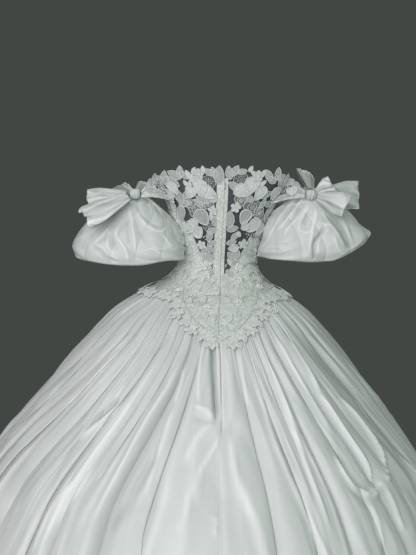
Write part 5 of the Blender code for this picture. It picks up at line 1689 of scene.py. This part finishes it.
def loop_point(side, sign, loop, turn, across, seed):
    """A point of a bow loop and its painted light: turn runs 0 to 1 out and back,
    across -1 to 1."""
    flip = np.array([sign, 1, 1])
    knot = np.array(KNOT[side]) * MM * flip
    end = np.array(loop["end"]) * MM * flip
    length = np.linalg.norm(end - knot)
    away = (end - knot) / length
    ribbon = np.array(loop["across"]) * flip
    ribbon = unit(ribbon - away * np.dot(ribbon, away))
    thick = np.cross(away, ribbon)
    theta = np.radians(LOOP_TURN[0] + LOOP_TURN[1] * turn)
    start = np.linalg.norm(np.array(KNOT_SIZE)) * MM * 0.62
    share = (1 - np.cos(theta)) / 2
    uneven = 1 + UNEVEN_END * noise(1.6 * across + 4, 0 * turn, seed + 3)
    far = start + (length - start) * share ** 0.9 * uneven
    width = loop["width"] / 2 * MM * (KNOT_END + (1 - KNOT_END) * np.clip(share * 1.5, 0, 1) ** 0.8)

    pleat = 0.0022 * np.cos(1.5 * math.pi * across) * (1 - share) * np.sign(np.sin(theta))
    wander = 0.5 * noise(3 * turn, 0 * across, seed)
    run_out = 0.75 + 0.55 * noise(3.0 * across + 5, 0 * turn, seed + 4)
    pleated = np.abs(np.sin(5.0 * across + wander)) ** 0.6
    by_knot = np.clip(1 - share / run_out, 0, 1)
    crumple = facets(7.0 * turn + 1.2 * across, 2.2 * across + 5, seed + 1)
    crumple += 0.45 * facets(13.0 * turn - 1.5 * across, 4.0 * across + 8, seed + 2)
    crumple = loop["crumple"] * MM * crumple * np.clip(share * 2 - 0.1, 0, 1)

    full = loop["fullness"] * MM * np.sin(theta) * (0.45 + 0.55 * share ** 0.4)
    stand = full * (1 - PRESSED * np.abs(across) ** 4) + pleat - PINCH * pleated * by_knot + crumple
    points = knot + away * far[..., None] + ribbon * (width * across)[..., None] + thick * stand[..., None]
    # painted light: painted shade in the pleats by the knot, painted highlight on raised crumples and
    # painted shade on sunken ones, and the loop's own painted shade
    return points, (0.5 - pleated) * 1.4 * by_knot + crumple / 0.009 - loop["shade"]


def make_bows():
    """Double bows on the sleeves' gathers: a wrapped knot and four loops each."""
    seed = 50
    for side, rows in LOOPS.items():
        sign = ARM_SIDE[side]["sign"]
        for loop in named(rows, LOOP_COLUMNS):
            seed += 5
            turn, across = grid_of(np.linspace(0, 1, LOOP_RUNS), np.linspace(-1, 1, LOOP_ACROSS))
            grid, painted_light = loop_point(side, sign, loop, turn, across, seed)
            piece = shell(f"ribbon_{side}_{loop['name']}", grid, 0.0006, "taffeta",
                          [f"bow_{side}_{loop['name']}"], painted_light=painted_light)
        make_knot(side, sign)


def make_knot(side, sign):
    """A pleated band of ribbon wrapped round the bow's middle, its pleats
    running over the bow from top to bottom."""
    centre = np.array(KNOT[side]) * MM * (sign, 1, 1)
    size = np.array(KNOT_SIZE) * MM
    lean = np.linspace(KNOT_OPEN, math.pi - KNOT_OPEN, KNOT_ROWS)[None, :]
    turn = np.linspace(0, 2 * math.pi, KNOT_ROUNDS, endpoint=False)[:, None]
    folds = np.abs(np.sin(4.5 * np.cos(lean) + 0.9 * np.sin(turn))) ** 0.6
    crumple = facets(turn * 8 / math.pi, lean * 2, 49, 16)
    ring = np.sin(lean) ** 0.5 * (0.90 + 0.17 * (folds - 0.5) + 0.08 * crumple)
    ring = ring * (1 - 0.10 * np.sin(2 * turn) ** 2)
    way = np.stack([np.cos(lean) * sign * -0.95 + 0 * turn, ring * np.cos(turn), ring * np.sin(turn)], -1)
    if side == "left":
        way = way[::-1]
    # painted light: painted shade in the valleys between the wrap's pleats, none on their tops
    piece = shell("knot_wrap_" + side, centre + way * size * KNOT_PULL, 0.0006, "taffeta",
                  ["bow_knot_" + side], closed=True, painted_light=0.5 * (folds - 1.0) + 0 * turn)


# ---------------- bands

# The satin band from each side of the yoke to the bow, over the sleeve's
# head: where its top and bottom edges leave the yoke, as angle and height.
BAND_AT_YOKE = ((66.0, 0.232), (60.0, 0.172))
BAND_OUT = 0.0058        # its face there, clear of the lace
BAND_AT_KNOT = 0.018     # its width at the knot
BAND_FROM_KNOT = 0.0175  # and how far from the knot's middle it ends
BAND_ARCH = (0.0, -0.007, 0.004)    # how far its middle bulges, in metres
BAND_LENGTH = 0.072      # metres from the yoke to the knot
BAND_WIDTH = 0.064       # and down the band beside the yoke
BAND_TAPER = 0.70        # how much narrower it is at the knot


def flat_band(side, along, down):
    """A point of a band: along runs from the yoke to the knot, down from its
    top edge to its bottom edge."""
    (top_angle, top_height), (foot_angle, foot_height) = BAND_AT_YOKE
    angle = top_angle + (foot_angle - top_angle) * down
    height = top_height + (foot_height - top_height) * down
    at_yoke = cloth(angle, height, BAND_OUT)
    knot = np.array(KNOT[side]) * MM
    middle = knot - (BAND_FROM_KNOT, 0.0, 0.0)
    at_knot = middle + np.stack([0 * down, 0 * down, BAND_AT_KNOT * (0.5 - down)], axis=-1)
    arch = np.sin(np.pi * along)[..., None] * np.array(BAND_ARCH)
    share = along[..., None]
    return (at_yoke + (at_knot - at_yoke) * share + arch) * np.array([ARM_SIDE[side]["sign"], 1.0, 1.0])


def band_normal(side, along, down):
    step = 0.01
    across = flat_band(side, along + step, down) - flat_band(side, along - step, down)
    below = flat_band(side, along, down + step) - flat_band(side, along, down - step)
    return unit(np.cross(below, across)) * ARM_SIDE[side]["sign"]


def band_relief(along, down):
    """The band's pleats at the knot and the lip that rolls over along its foot."""
    pleats = 0.0024 * (np.abs(np.sin(2.5 * math.pi * down)) ** 0.7 - 0.6) * ease(along * 1.4 - 0.3)
    lip = 0.0045 * np.exp(-((down - 0.90) / 0.10) ** 2) * ease(1.2 - along)
    return pleats + lip + 0.0012 * noise(along * 4, down * 3, 61)


class BandLace(Lace):
    """Lace on a band: places are shares along and down it."""

    def lay(self, place, local, out):
        along, down, turn = place
        word = "left" if self.side < 0 else "right"
        across, up = leaned(local[..., 0], local[..., 1], turn)
        along = along + across * MM / BAND_LENGTH
        down = down - up * MM / (BAND_WIDTH * (1 - BAND_TAPER * np.clip(along, 0, 0.9)))
        normal = band_normal(word, along, down)
        lift = band_relief(along, np.clip(down, 0, 1)) + 0.0012 + out
        return flat_band(word, along, down) + normal * lift[..., None], normal


# The bands' motifs, in the lace's columns, with shares along the band and down
# it in place of the angle and height.
BAND_MOTIFS = {
    "left": (
        ("leaf", 0.10, 0.02, -48, 30), ("leaf", 0.42, 0.06, -74, 30), ("dark", 0.08, 0.36, 0, 38),
        ("leaf", 0.66, 0.16, 100, 22), ("leaf", 0.30, 0.66, 72, 30), ("leaf", 0.58, 0.46, 84, 26),
        ("sheer", 0.12, 0.50, 0, 34), ("bud", 0.06, 0.86, 80, 22),
    ),
    "right": (
        ("leaf", 0.08, 0.00, 62, 34), ("leaf", 0.46, 0.04, 84, 30), ("dark", 0.14, 0.36, 0, 36),
        ("petal", 0.44, 0.42, 96, 34), ("leaf", 0.26, 0.78, 70, 32), ("leaf", 0.76, 0.34, 96, 22),
    ),
}


def make_bands():
    """The satin bands over the sleeves' heads, with lace laid on them."""
    for side in ARM_SIDE:
        along, down = grid_of(np.linspace(0, 1, 48), np.linspace(0, 1, 36))
        relief = band_relief(along, down)
        points = flat_band(side, along, down) + band_normal(side, along, down) * relief[..., None]
        if side == "left":
            points = points[::-1]
        piece = shell("satin_band_" + side, points, SATIN_THICK / 2, "satin",
                      ["shoulder_band_" + side])
        lace = BandLace(ARM_SIDE[side]["sign"])
        lay_motifs(lace, BAND_MOTIFS[side], 1.0)
        make_lace("lace_band_yoke_" + side, lace, ())


# ---------------- camera and light

EYE = (-0.2282, -2.1716, 0.2681)
AIM = (-0.0258, -0.0032, -0.0476)
ROLL_UP = (-0.02175, 0.14604, 0.98904)    # the way up in the camera's view
LENS = 50.07             # in mm
FRAME_HEIGHT = 36.0      # of the camera's film, in mm


def looking(place, aim, above=(0, 0, 1)):
    """Where a camera or lamp stands, turned towards a point."""
    back = unit(np.array(place) - np.array(aim))
    right = unit(np.cross(above, back))
    up = np.cross(back, right)
    return Matrix([[right[k], up[k], back[k], place[k]] for k in range(3)] + [[0, 0, 0, 1]])


def make_camera():
    data = bpy.data.cameras.new("camera")
    data.lens = LENS
    data.sensor_fit = "VERTICAL"
    data.sensor_height = FRAME_HEIGHT
    camera = add_object("camera", data)
    camera.matrix_world = looking(EYE, AIM, ROLL_UP)
    bpy.context.scene.camera = camera


def add_light(name, place, aim, size, power, colour):
    """A square soft light."""
    data = bpy.data.lights.new(name, "AREA")
    data.size = size
    data.energy = power
    data.color = linear(colour)[:3]
    add_object(name, data).matrix_world = looking(place, aim)


# Lamps: where each stands and points, its size in metres, its power and colour.
LIGHTS = (
    ("key", (-1.3, -3.0, 1.1), (0, 0, -0.3), 3.2, 98, "#fffdfe"),
    ("fill", (2.4, -1.8, 0.6), (0, 0, -0.3), 2.4, 16, "#d2ecd6"),
    ("top", (0.2, 0.8, 2.6), (0, 0, 0), 1.6, 14, "#f8faff"),
    ("front", (0.6, 2.8, 1.3), (0, 0, -0.3), 2.0, 26, "#ffffff"),
)
FLOOR_RADIUS = 1.6


def make_stage():
    """A round pale floor under plain soft studio lights."""
    bpy.context.scene.view_settings.view_transform = "Standard"
    bpy.ops.mesh.primitive_circle_add(vertices=96, radius=FLOOR_RADIUS, fill_type="NGON",
                                      location=(0, 0, FLOOR))
    floor = bpy.context.object
    floor.name = "floor"
    material, _ = new_material("floor_paper", Base_Color=linear("#c9cbc9"), Roughness=0.9)
    floor.data.materials.append(material)
    world = bpy.data.worlds.new("studio")
    world.use_nodes = True
    world.node_tree.nodes["Background"].inputs[0].default_value = linear("#424744")
    bpy.context.scene.world = world
    for light in LIGHTS:
        add_light(*light)


make_camera()
make_bodice()
make_placket()
make_trims()
make_skirt()
make_yoke_lace()
make_hip_lace()
make_sleeves()
make_bows()
make_bands()
make_stage()
